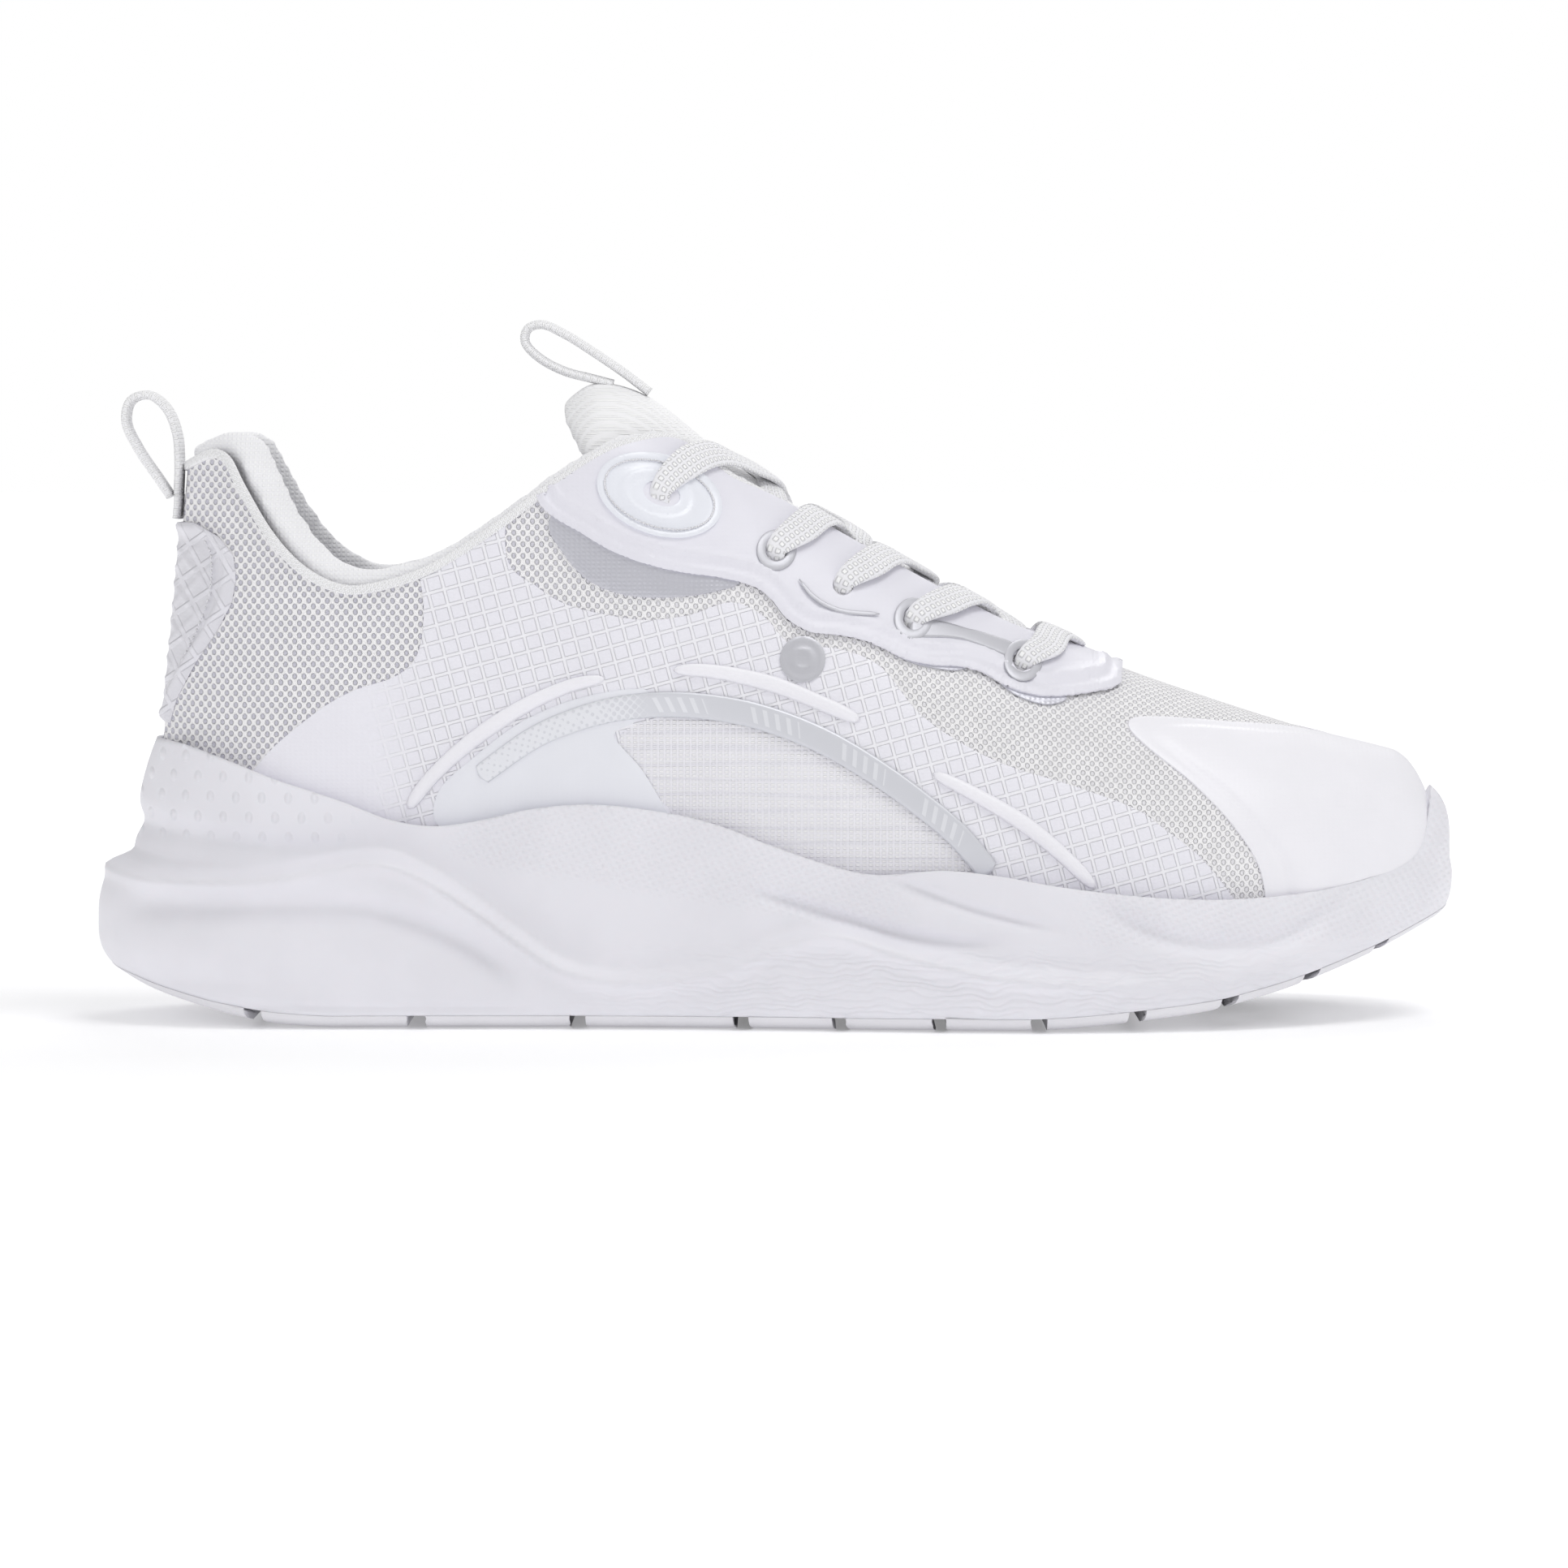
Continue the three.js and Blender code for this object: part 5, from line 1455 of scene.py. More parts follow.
class Wall:
    """Makes pieces that lie on the last's wall."""

    @staticmethod
    def lay(side: int, xz: Array, inset: Array | float) -> tuple[Array, Array]:
        """Lays side-view places onto the wall.

        Args:
            side: LATERAL or MEDIAL.
            xz: places along the shoe and up.
            inset: how far inside the last.

        Returns:
            The points, and for each how far below (negative) or above the collar and throat edge it is, as v.
        """
        x, z = xz[:, 0], xz[:, 1]
        plain = x - Last.back_lean(z) * (1 - smooth(x, Last.HEEL_X, Last.HEEL_X + 45))
        share = np.clip((plain - Last.HEEL_X - inset) / (Last.TOE_X - Last.HEEL_X - 2 * inset), 0.0, 1.0)
        v = Last.v_at_height(share, z)
        along = Last.x_at(share)
        edge = Last.below_edge(share, (Last.roll_depth(along) + 0.3) * (1 - smooth(along, 140, 150))) - 0.004
        return Last.point(side, share, np.minimum(v, edge), inset), v - edge

    @classmethod
    def applique(
        cls, name: str, side: int, shape: Array, out: float, thick: float, step: float = 2.4,
        holes: Iterable[Array] = (), relief: Callable[[Array], Array] | None = None,
    ) -> Piece:
        """A flat shape laid on the wall.

        Args:
            name: the piece's name.
            side: LATERAL or MEDIAL.
            shape: its outline seen from the side.
            out: how far its face stands outside the last.
            thick: its thickness.
            step: the size of its faces.
            holes: outlines left open in it.
            relief: extra height at side-view places, or None.

        Returns:
            The piece.
        """
        bm = Bench.filled(shape, holes, step)
        flat = np.array([(v.co.x, v.co.y) for v in bm.verts])
        inset = -out - (relief(flat) if relief else 0.0)
        points, above = cls.lay(side, flat, inset)
        low = flat[:, 1] < Last.footbed(flat[:, 0]) + 0.2
        bm.verts.index_update()
        gone = [
            f for f in bm.faces
            if all(above[v.index] > 0 for v in f.verts) or all(low[v.index] for v in f.verts)
        ]
        for vert, co in zip(bm.verts, points):
            vert.co = co
        bmesh.ops.delete(bm, geom=gone, context="FACES")
        placed = np.array([v.co for v in bm.verts])
        piece = Bench.finish(name, bm, placed, placed[:, [0, 2]], 1.5e-5)
        middle = placed[:, 0].mean()
        Bench.face_out(piece, Bench.place([middle, float(Last.centre(middle)), 45.0]))
        Bench.thicken(piece, thick, min(0.22, thick * 0.3))
        return piece

    @classmethod
    def sheet(
        cls, name: str, columns: int, rows: int, share: Callable[[Array], Array],
        top: Callable[[Array], Array], inset: Callable[[Array, Array], Array], thick: float
    ) -> Piece:
        """A sheet over both sides of the last.

        Args:
            name: the piece's name.
            columns: faces along it.
            rows: faces up each side.
            share: the share of the last's length for each place along, 0 to 1.
            top: the highest v at a share.
            inset: how far inside the last, from share and v.
            thick: its thickness.

        Returns:
            The piece.
        """
        bm, at, side = Bench.both_sides(columns, rows)
        along = share(at[:, 0])
        v = at[:, 1] * top(along)
        points = Last.point(side, along, v, inset(along, v))
        height = np.where(side == LATERAL, Last.girth(along, v), -Last.girth(along, v))
        piece = Bench.finish(name, bm, points, np.stack([points[:, 0], height], axis=-1), 4e-5)
        Bench.face_out(piece, Bench.place([150.0, 0.0, 50.0]))
        Bench.thicken(piece, thick, min(0.3, thick * 0.3))
        return piece

    @classmethod
    def tape(
        cls, name: str, side: int, path: Points, width: float | Sequence[float], out: float, high: float,
        taper: float = 2.5,
    ) -> Piece:
        """A raised rib or a narrow strip along a path on the wall.

        Args:
            name: the piece's name.
            side: LATERAL or MEDIAL.
            path: the places it follows, seen from the side.
            width: its width, or its widths from start to end.
            out: how far its edges stand outside the last.
            high: how far its middle stands above its edges.
            taper: over how many millimetres its ends round off.

        Returns:
            The piece.
        """
        line = Bench.outline(path, 1.4, closed=False)
        count = len(line) - 1
        bm, at = Bench.grid(count, 8)
        index = np.rint(at[:, 0] * count).astype(int)
        along = unit_rows(np.gradient(line, axis=0))[index]
        given = np.atleast_1d(np.asarray(width, float))
        half = np.interp(at[:, 0], np.linspace(0, 1, len(given)), given) / 2
        ends = np.sqrt(np.clip(1 - np.clip(1 - at[:, 0] * count / taper, 0, 1) ** 2, 0.02, 1))
        ends *= np.sqrt(np.clip(1 - np.clip(1 - (1 - at[:, 0]) * count / taper, 0, 1) ** 2, 0.02, 1))
        across = (at[:, 1] * 2 - 1) * half * ends
        xz = line[index] + np.stack([-along[:, 1], along[:, 0]], axis=1) * across[:, None]
        dome = np.sqrt(np.clip(1 - (at[:, 1] * 2 - 1) ** 2, 0, 1)) * high * ends
        points, _ = cls.lay(side, xz, -(out + dome))
        length = np.concatenate([[0.0], np.cumsum(np.linalg.norm(np.diff(line, axis=0), axis=1))])
        piece = Bench.finish(name, bm, points, np.stack([length[index], across], axis=1))
        Bench.face_out(piece, Bench.place(np.array([points[:, 0].mean(), 0.0, 45.0])))
        Bench.thicken(piece, 0.3)
        return piece

    @classmethod
    def stitches(cls, name: str, side: int, path: Points, out: float, length: float = 1.7) -> Piece:
        """A row of stitches along a path on the wall.

        Args:
            name: the piece's name.
            side: LATERAL or MEDIAL.
            path: the places it follows, seen from the side.
            out: how far the thread stands outside the last.
            length: the length of a stitch.

        Returns:
            The piece.
        """
        line = Bench.outline(path, length * 1.3, closed=False)
        points, _ = cls.lay(side, line, -out)
        return thread(name, points, length, 0.62)


def thread(name: str, points: Array, length: float, width: float) -> Piece:
    """Stitches along a line of points.

    Args:
        name: the piece's name.
        points: where each stitch is.
        length: the length of a stitch.
        width: its width.

    Returns:
        The piece.
    """
    placed = Bench.place(points)
    bm = bmesh.new()
    for i in range(len(placed) - 1):
        way = Vector(placed[i + 1] - placed[i])
        turn = way.to_track_quat("X", "Z").to_matrix().to_4x4()
        size = Matrix.Diagonal((length / 2000, width / 2000, width / 2600, 1.0))
        middle = Matrix.Translation(Vector((placed[i] + placed[i + 1]) / 2))
        bmesh.ops.create_icosphere(bm, subdivisions=1, radius=1.0, matrix=middle @ turn @ size)
    for face in bm.faces:
        face.smooth = True
    mesh = bpy.data.meshes.new(name)
    bm.to_mesh(mesh)
    bm.free()
    piece = bpy.data.objects.new(name, mesh)
    bpy.context.scene.collection.objects.link(piece)
    return piece


@dataclass
class Upper:
    """The knitted shell, its lining, and the films and trims laid over it.

    Attributes:
        mesh: the shell's thickness.
        lining_inset: how far inside the last the lining's face is.
        cage, panel, eyestay, underlay, flap: each film's outline, seen from the side.
        crescents: the outlines of the two small crescents.
        band, arc, bar, ribs: the lines that the strips and the raised ribs follow.
        eyelets: the lace holes, from the toe up.
        ringed: which hole each eyelet ring is round, by the ring's number.
        top_patch: the top patch's middle, length, height and tilt in degrees.
        dot: the round dot's middle, length and height.
        patch_reach: heights on the heel patch, and how far forward it comes at each.
        cap_edge: where the toe cap starts, by the place up the wall.
    """

    mesh: float = 1.1
    lining_inset: float = 4.9

    cage = (
        (35, 48), (38, 57), (49, 66.8), (57.6, 72), (66.3, 74.9), (70.6, 78), (72.6, 82.5), (73.2, 90),
        (72.4, 104), (80, 116), (90, 118), (91, 100.5), (97.4, 94.5), (104.3, 90.5), (114.7, 88.1),
        (122, 87.4), (130.3, 88.4), (139, 91), (146, 88), (152, 82), (162, 81), (171, 77.2), (179, 67.7),
        (187.4, 61.6), (197.8, 56.4), (211.6, 52.1), (225.5, 47), (232.6, 42.1), (239.5, 36.7), (246, 28.7),
        (249, 22), (222, 18), (199, 24), (193.5, 33.4), (187, 42), (178.5, 50), (166.6, 58.2), (153, 64),
        (140, 67.4), (128, 67.6), (115.5, 63), (119.5, 54), (127, 42), (100, 38), (60, 37)
    )
    panel = (
        (112.5, 64.6), (120, 68.2), (130, 69.4), (141, 68.6), (153, 65.2), (167, 58.8), (179, 50.4),
        (188, 42), (195, 33.4), (197, 26), (180, 25), (150, 29), (126, 36), (119.9, 54.5)
    )
    band = (
        (85, 53.8), (95.7, 61.4), (104.3, 65.4), (114.7, 68.3), (126.8, 69.2), (139, 68), (149.3, 65.3),
        (159.7, 61), (170, 55), (178.8, 48.8), (187.4, 41.7), (194.3, 33.6)
    )
    eyestay = (
        (97.5, 113), (108.2, 104.7), (115.3, 100.9), (122.3, 98.5), (129.4, 96.9), (136.5, 95.9),
        (143.5, 94.1), (147.4, 91.5), (151, 87.2), (156, 84.3), (162, 83.6), (167.3, 82.5), (171.5, 80.8),
        (176.5, 78.4), (182, 77.1), (189.3, 76.5), (193.8, 75.1), (198, 72.6), (203, 70.8), (209, 70.1),
        (218, 71), (222.6, 72), (224, 74), (222, 84), (190, 108), (160, 128), (125, 140), (104, 128)
    )
    underlay = (
        (100, 108), (103.5, 101), (109, 95.5), (117, 92.6), (127, 92.2), (136, 93.4), (141, 96), (133, 104),
        (118, 112), (106, 114)
    )
    flap = (
        (76, 50), (84, 58), (95, 66), (108, 71), (121, 72.4), (119, 66), (114, 62.8), (119.9, 55.5),
        (125, 46.9), (128, 40), (100, 40), (78, 42)
    )
    crescents = (
        ((174, 80), (179, 77.6), (187, 76.2), (190, 77.4), (184, 79.8), (177, 81.4)),
        ((197, 73.6), (201, 70.6), (207, 68.8), (211.5, 70), (206, 72), (200, 74.6)),
    )
    arc = ((153.7, 94.8), (156, 91.8), (159.5, 89.3), (164, 87.8), (171, 87.2))
    bar = ((177.5, 84.6), (186, 83.8), (194, 81.6), (201, 78.8))
    ribs = (
        ((112, 74.9), (104.3, 73.2), (94, 68.5), (83.6, 61.6), (74.9, 53.8), (69.7, 46.9)),
        ((126.8, 76.7), (135.5, 76.3), (147.6, 73.7), (158, 69.7), (166.6, 65.9)),
        ((182.2, 54.7), (190.9, 50.4), (201.3, 44.3), (209.9, 37.4), (216.8, 30.5)),
    )
    eyelets = ((202.1, 77.2), (178.4, 86.4), (163.2, 94.0), (148.8, 101.2))
    ringed = {1: 0, 2: 1, 4: 3}
    top_patch = (123.7, 112.9, 27.6, 16.8, -18.0)
    dot = (154.4, 78.7, 9.8, 9.8)
    patch_reach = ((64.5, 70, 78, 85, 91, 96, 101, 105, 108), (2.2, 3.5, 7.5, 12, 15, 15.6, 14.6, 10.5, 4.0))
    cap_edge = Line(
        (0, 254), (0.22, 252), (0.36, 246), (0.48, 237), (0.56, 228), (0.61, 224.5), (0.66, 227),
        (0.78, 248), (1, 273)
    )

    @staticmethod
    def spread(a: Array) -> Array:
        """Columns closer together at the heel and toe."""
        return (1 - np.cos(np.pi * a)) / 2

    def shell(self, finishes: Finishes) -> None:
        """The knitted shell and the lining inside it.

        Args:
            finishes: the shoe's finishes.
        """
        mesh = Wall.sheet(
            "knit_shell", 220, 60, self.spread, Last.mesh_top, lambda s, v: np.zeros_like(v), self.mesh
        )
        fit(mesh, finishes.mesh, "upper_mesh", BENDS, "upper_mesh", "upper_mesh_toe")
        lining = Wall.sheet("lining_shell", 160, 40, self.spread, Last.mesh_top, self.lining_depth, 0.7)
        fit(lining, finishes.lining, "lining", BENDS, "quarter_lining", "vamp_lining", "toe_lining")
        log.info("upper: shell and lining")

    def lining_depth(self, share: Array, v: Array) -> Array:
        """The lining's inset, which rises to the shell beside the throat.

        Args:
            share: the share of the last's length, 0 to 1.
            v: the place up the wall, 0 to 1.

        Returns:
            The values.
        """
        x = Last.x_at(share)
        vamp = smooth(x, 118, 140) * (1 - smooth(x, 224, 240))
        return lerp(self.lining_inset, 2.6, vamp)

    def toe_cap(self, finishes: Finishes) -> None:
        """The welded toe cap with its embossed line.

        Args:
            finishes: the shoe's finishes.
        """
        bm, at, side = Bench.both_sides(60, 60)
        edge = self.cap_edge(at[:, 1])
        share = lerp(Last.share_at(edge), 1.0, 1 - (1 - at[:, 0]) ** 1.7)
        past = Last.x_at(share) - edge
        line = bell(past - 5.6, 0.9) * smooth(Last.x_at(share), 228, 234) * (1 - smooth(at[:, 1], 0.55, 0.62))
        inset = -0.45 + 0.35 * line - 0.35 * smooth(past, 5.6, 9)
        points = Last.point(side, share, at[:, 1], inset)
        piece = Bench.finish("toe_cap_film", bm, points, points[:, [0, 2]], 4e-5)
        Bench.face_out(piece, Bench.place([262.0, 6.0, 35.0]))
        Bench.thicken(piece, 0.5, 0.15)
        fit(piece, finishes.toe, "toe_film", BENDS, "toe_cap")

    def films(self, finishes: Finishes) -> None:
        """The films laid on each side, from the shell outwards.

        Args:
            finishes: the shoe's finishes.
        """
        for word, side in SIDES.items():
            cage = Wall.applique(f"cage_film_{word}", side, Bench.outline(self.cage), 0.5, 0.55)
            fit(cage, finishes.cage, "cage_film", BENDS, f"side_cage_{word}")
            panel = Wall.applique(f"stretch_window_{word}", side, Bench.outline(self.panel), 0.3, 0.4)
            fit(panel, finishes.stretch, "stretch_knit", "rearfoot", f"knit_panel_{word}")
            flap = Wall.applique(f"smooth_flap_{word}", side, Bench.outline(self.flap), 0.8, 0.4)
            fit(flap, finishes.flap, "cage_film", "rearfoot")
            band = Wall.tape(f"arc_band_film_{word}", side, self.band, (4.4, 5.4, 5.4, 5.0), 1.1, 0.1, 0.5)
            fit(band, finishes.silver, "silver_film", "rearfoot", f"arc_band_{word}")
            under = Wall.applique(f"crescent_{word}", side, Bench.outline(self.underlay), 0.55, 0.6)
            fit(under, finishes.underlay, "silver_film", "rearfoot", f"underlay_{word}")
            for i, shape in enumerate(self.crescents):
                small = Wall.applique(
                    f"small_crescent_{i + 1}_{word}", side, Bench.outline(shape, 0.8), 0.6, 0.4, 1.6
                )
                fit(small, finishes.underlay, "silver_film", "rearfoot")
            disc = Bench.ellipse(*self.dot)
            dot = Wall.applique(f"round_dot_{word}", side, disc, 0.8, 0.8, 0.6, (), self.dot_rings)
            fit(dot, finishes.bright, "silver_trim", "rearfoot", f"dot_{word}")
            for i, path in enumerate(self.ribs):
                rib = Wall.tape(f"raised_rib_{i + 1}_{word}", side, path, (2.6, 3.6, 3.0), 0.6, 1.35, 4.0)
                fit(rib, finishes.toe, "cage_film", BENDS)
            log.info("upper: %s films", word)

    def facing(self, finishes: Finishes) -> None:
        """The eyestays with their stepped edge, eyelets, and silver lines.

        Args:
            finishes: the shoe's finishes.
        """
        for word, side in SIDES.items():
            holes = [Bench.ellipse(x, z, 4.6, 4.6, count=16) for x, z in self.eyelets]
            stay = Wall.applique(
                f"eyestay_film_{word}", side, Bench.outline(self.eyestay), 1.0, 0.7, 0.95, holes,
                self.stepped_edge
            )
            fit(stay, finishes.eyestay, "eyestay_film", BENDS, f"eyestay_{word}")
            arc = Wall.tape(f"silver_arc_{word}", side, self.arc, 0.9, 1.95, 0.15)
            fit(arc, finishes.bright, "silver_trim", "rearfoot")
            bar = Wall.tape(f"silver_bar_{word}", side, self.bar, (4.6, 2.4, 3.4), 1.5, 0.15)
            fit(bar, finishes.bright, "silver_trim", "rearfoot")
            for number, row in self.ringed.items():
                ring = self.eyelet(f"eyelet_trim_{number}_{word}", side, *self.eyelets[row])
                fit(ring, finishes.bright, "silver_trim", "rearfoot", f"eyelet_ring_{number}_{word}")
            patch = Wall.applique(
                f"top_eyelet_patch_{word}", side, Bench.ellipse(*self.top_patch, count=60), 1.5, 0.8, 0.7,
                [Bench.ellipse(124.2, 113.4, 8.2, 5.0, -18.0, 18)], self.patch_rings,
            )
            fit(patch, finishes.clear, "clear_patch", "rearfoot", f"top_patch_{word}")
            x, z, length, height, tilt = self.top_patch
            ring = Bench.ellipse(x, z, length - 3.4, height - 3.4, tilt, 40)
            sewn = Wall.stitches(f"top_patch_stitches_{word}", side, [*ring, ring[0]], 1.95, 1.2)
            fit(sewn, finishes.thread, "lace", "rearfoot")
            log.info("upper: %s facing", word)

    def stepped_edge(self, flat: Array) -> Array:
        """A second step a few millimetres inside the eyestay's lower edge.

        Args:
            flat: places seen from the side.

        Returns:
            The values.
        """
        shape = Bench.outline(self.eyestay)
        lower = shape[(shape[:, 0] > 96) & (shape[:, 1] < 113.2)]
        away = np.min(np.linalg.norm(flat[:, None] - lower[None], axis=-1), axis=1)
        return 0.6 * bell(away - 1.1, 0.8) + 0.65 * bell(away - 4.0, 0.75) + 0.25 * smooth(away, 3.0, 4.6)

    def dot_rings(self, flat: Array) -> Array:
        """A raised rim and ring on the round dot."""
        radius = np.hypot(flat[:, 0] - self.dot[0], flat[:, 1] - self.dot[1])
        return 0.18 * bell(radius - 4.3, 0.5) + 0.18 * bell(radius - 2.0, 0.6)

    def patch_rings(self, flat: Array) -> Array:
        """Raised rings around the top patch.

        Args:
            flat: places seen from the side.

        Returns:
            The values.
        """
        x, z, length, height, tilt = self.top_patch
        turn = math.radians(tilt)
        u = (flat[:, 0] - x) * math.cos(turn) + (flat[:, 1] - z) * math.sin(turn)
        w = (flat[:, 1] - z) * math.cos(turn) - (flat[:, 0] - x) * math.sin(turn)
        radius = np.hypot(u / (length / 2), w / (height / 2))
        return 0.65 * bell(
            radius - 0.95, 0.07
        ) + 0.6 * bell(radius - 0.56, 0.07) + 0.2 * bell(radius - 0.38, 0.05)

    def eyelet(self, name: str, side: int, x: float, z: float) -> Piece:
        """A flattened metal ring around a lace hole.

        Args:
            name: the piece's name.
            side: LATERAL or MEDIAL.
            x: the place along the shoe.
            z: the height above the ground.

        Returns:
            The piece.
        """
        bm, at = Bench.grid(36, 10)
        around, section = at[:, 0] * 2 * math.pi, at[:, 1] * 2 * math.pi
        radius = 3.3 + 1.0 * np.cos(section)
        flat = np.stack([x + radius * np.cos(around), z + radius * np.sin(around)], axis=1)
        points, _ = Wall.lay(side, flat, -(1.55 + 0.22 * np.sin(section)))
        return Bench.finish(name, bm, points)

    def heel(self, finishes: Finishes) -> None:
        """The moulded heel patch, its thick rim and its stitching.

        Args:
            finishes: the shoe's finishes.
        """
        bm, at = Bench.grid(90, 60)
        a = at[:, 0] * 2 - 1
        low, high = self.patch_reach[0][0], self.patch_reach[0][-1]
        z = lerp(low, high, at[:, 1])
        reach = np.interp(z, *self.patch_reach)
        x = 15.0 + np.abs(a) ** 1.7 * reach
        share = np.clip(Last.share_at(x), 0, 1)
        side = np.where(a < 0, LATERAL, MEDIAL)
        edge = np.minimum((1 - np.abs(a)) * reach * 1.6, np.minimum(z - low, high - z))
        rim = bell(edge - 1.6, 1.3) * 0.9
        emboss = 0.35 * lattice(z, x * 0.9, 8, 0.8) * smooth(edge, 4.5, 6)
        inset = -(0.7 + rim + emboss) * smooth(edge, -0.4, 0.8)
        points = Last.point(side, share, Last.v_at_height(share, z), inset)
        piece = Bench.finish("heel_patch_moulded", bm, points, points[:, [1, 2]], 3e-5)
        Bench.face_out(piece, Bench.place([60.0, 0.0, 85.0]))
        Bench.thicken(piece, 0.7, 0.2)
        fit(piece, finishes.patch, "heel_patch", "rearfoot", "heel_tab")
        for word, way in SIDES.items():
            rise = np.linspace(71, 104, 22)
            reach = np.interp(rise, *self.patch_reach)
            share = np.clip(Last.share_at(15.0 + (0.8**1.7) * reach), 0, 1)
            line = Last.point(way, share, Last.v_at_height(share, rise), -1.25)
            sewn = thread(f"heel_patch_stitches_{word}", line, 1.5, 0.6)
            fit(sewn, finishes.thread, "lace", "rearfoot")

    def build(self, finishes: Finishes) -> None:
        """Makes every piece of the upper.

        Args:
            finishes: the shoe's finishes.
        """
        self.shell(finishes)
        self.toe_cap(finishes)
        self.films(finishes)
        self.facing(finishes)
        self.heel(finishes)


# ---- Padding, lace and loops ----------------------------------------------------------------------------


def swell(piece: Piece, voxel: float, pressure: float, cap: float) -> None:
    """Blows a closed pad up a little with cloth, and keeps the result.

    Args:
        piece: the pad, as a closed mesh.
        voxel: the size of its new faces, in millimetres.
        pressure: the pressure inside it.
        cap: how far a point may move, in millimetres.
    """
    remesh = piece.modifiers.new("remesh", "REMESH")
    remesh.mode = "VOXEL"
    remesh.voxel_size = voxel / 1000
    apply_modifiers(piece)
    before = np.array([v.co for v in piece.data.vertices])
    cloth = piece.modifiers.new("cloth", "CLOTH")
    cloth.settings.quality = 6
    cloth.settings.use_pressure = True
    cloth.settings.uniform_pressure_force = pressure
    cloth.settings.effector_weights.gravity = 0.0
    cloth.settings.tension_stiffness = 12
    cloth.settings.compression_stiffness = 12
    for step in range(1, 16):
        bpy.context.scene.frame_set(step)
    apply_modifiers(piece)
    after = np.array([v.co for v in piece.data.vertices])
    move = after - before
    size = np.linalg.norm(move, axis=1, keepdims=True)
    moved = before + move * np.minimum(1.0, cap / 1000 / np.maximum(size, 1e-9))
    piece.data.vertices.foreach_set("co", moved.ravel())
    bpy.context.scene.frame_set(1)
    soften(piece, 6)
    smoother = piece.modifiers.new("smooth", "SUBSURF")
    smoother.levels = smoother.render_levels = 1
    for face in piece.data.polygons:
        face.use_smooth = True


def soften(piece: Piece, times: int) -> None:
    """Smooths a mesh's vertices.

    Args:
        piece: the piece.
        times: how many times.
    """
    bm = bmesh.new()
    bm.from_mesh(piece.data)
    for _ in range(times):
        bmesh.ops.smooth_vert(
            bm, verts=bm.verts[:], factor=0.5, use_axis_x=True, use_axis_y=True, use_axis_z=True
        )
    bm.to_mesh(piece.data)
    bm.free()


def apply_modifiers(piece: Piece) -> None:
    """Bakes a piece's modifiers into its mesh.

    Args:
        piece: the piece.
    """
    depsgraph = bpy.context.evaluated_depsgraph_get()
    shape = bpy.data.meshes.new_from_object(piece.evaluated_get(depsgraph))
    piece.modifiers.clear()
    old = piece.data
    piece.data = shape
    bpy.data.meshes.remove(old)


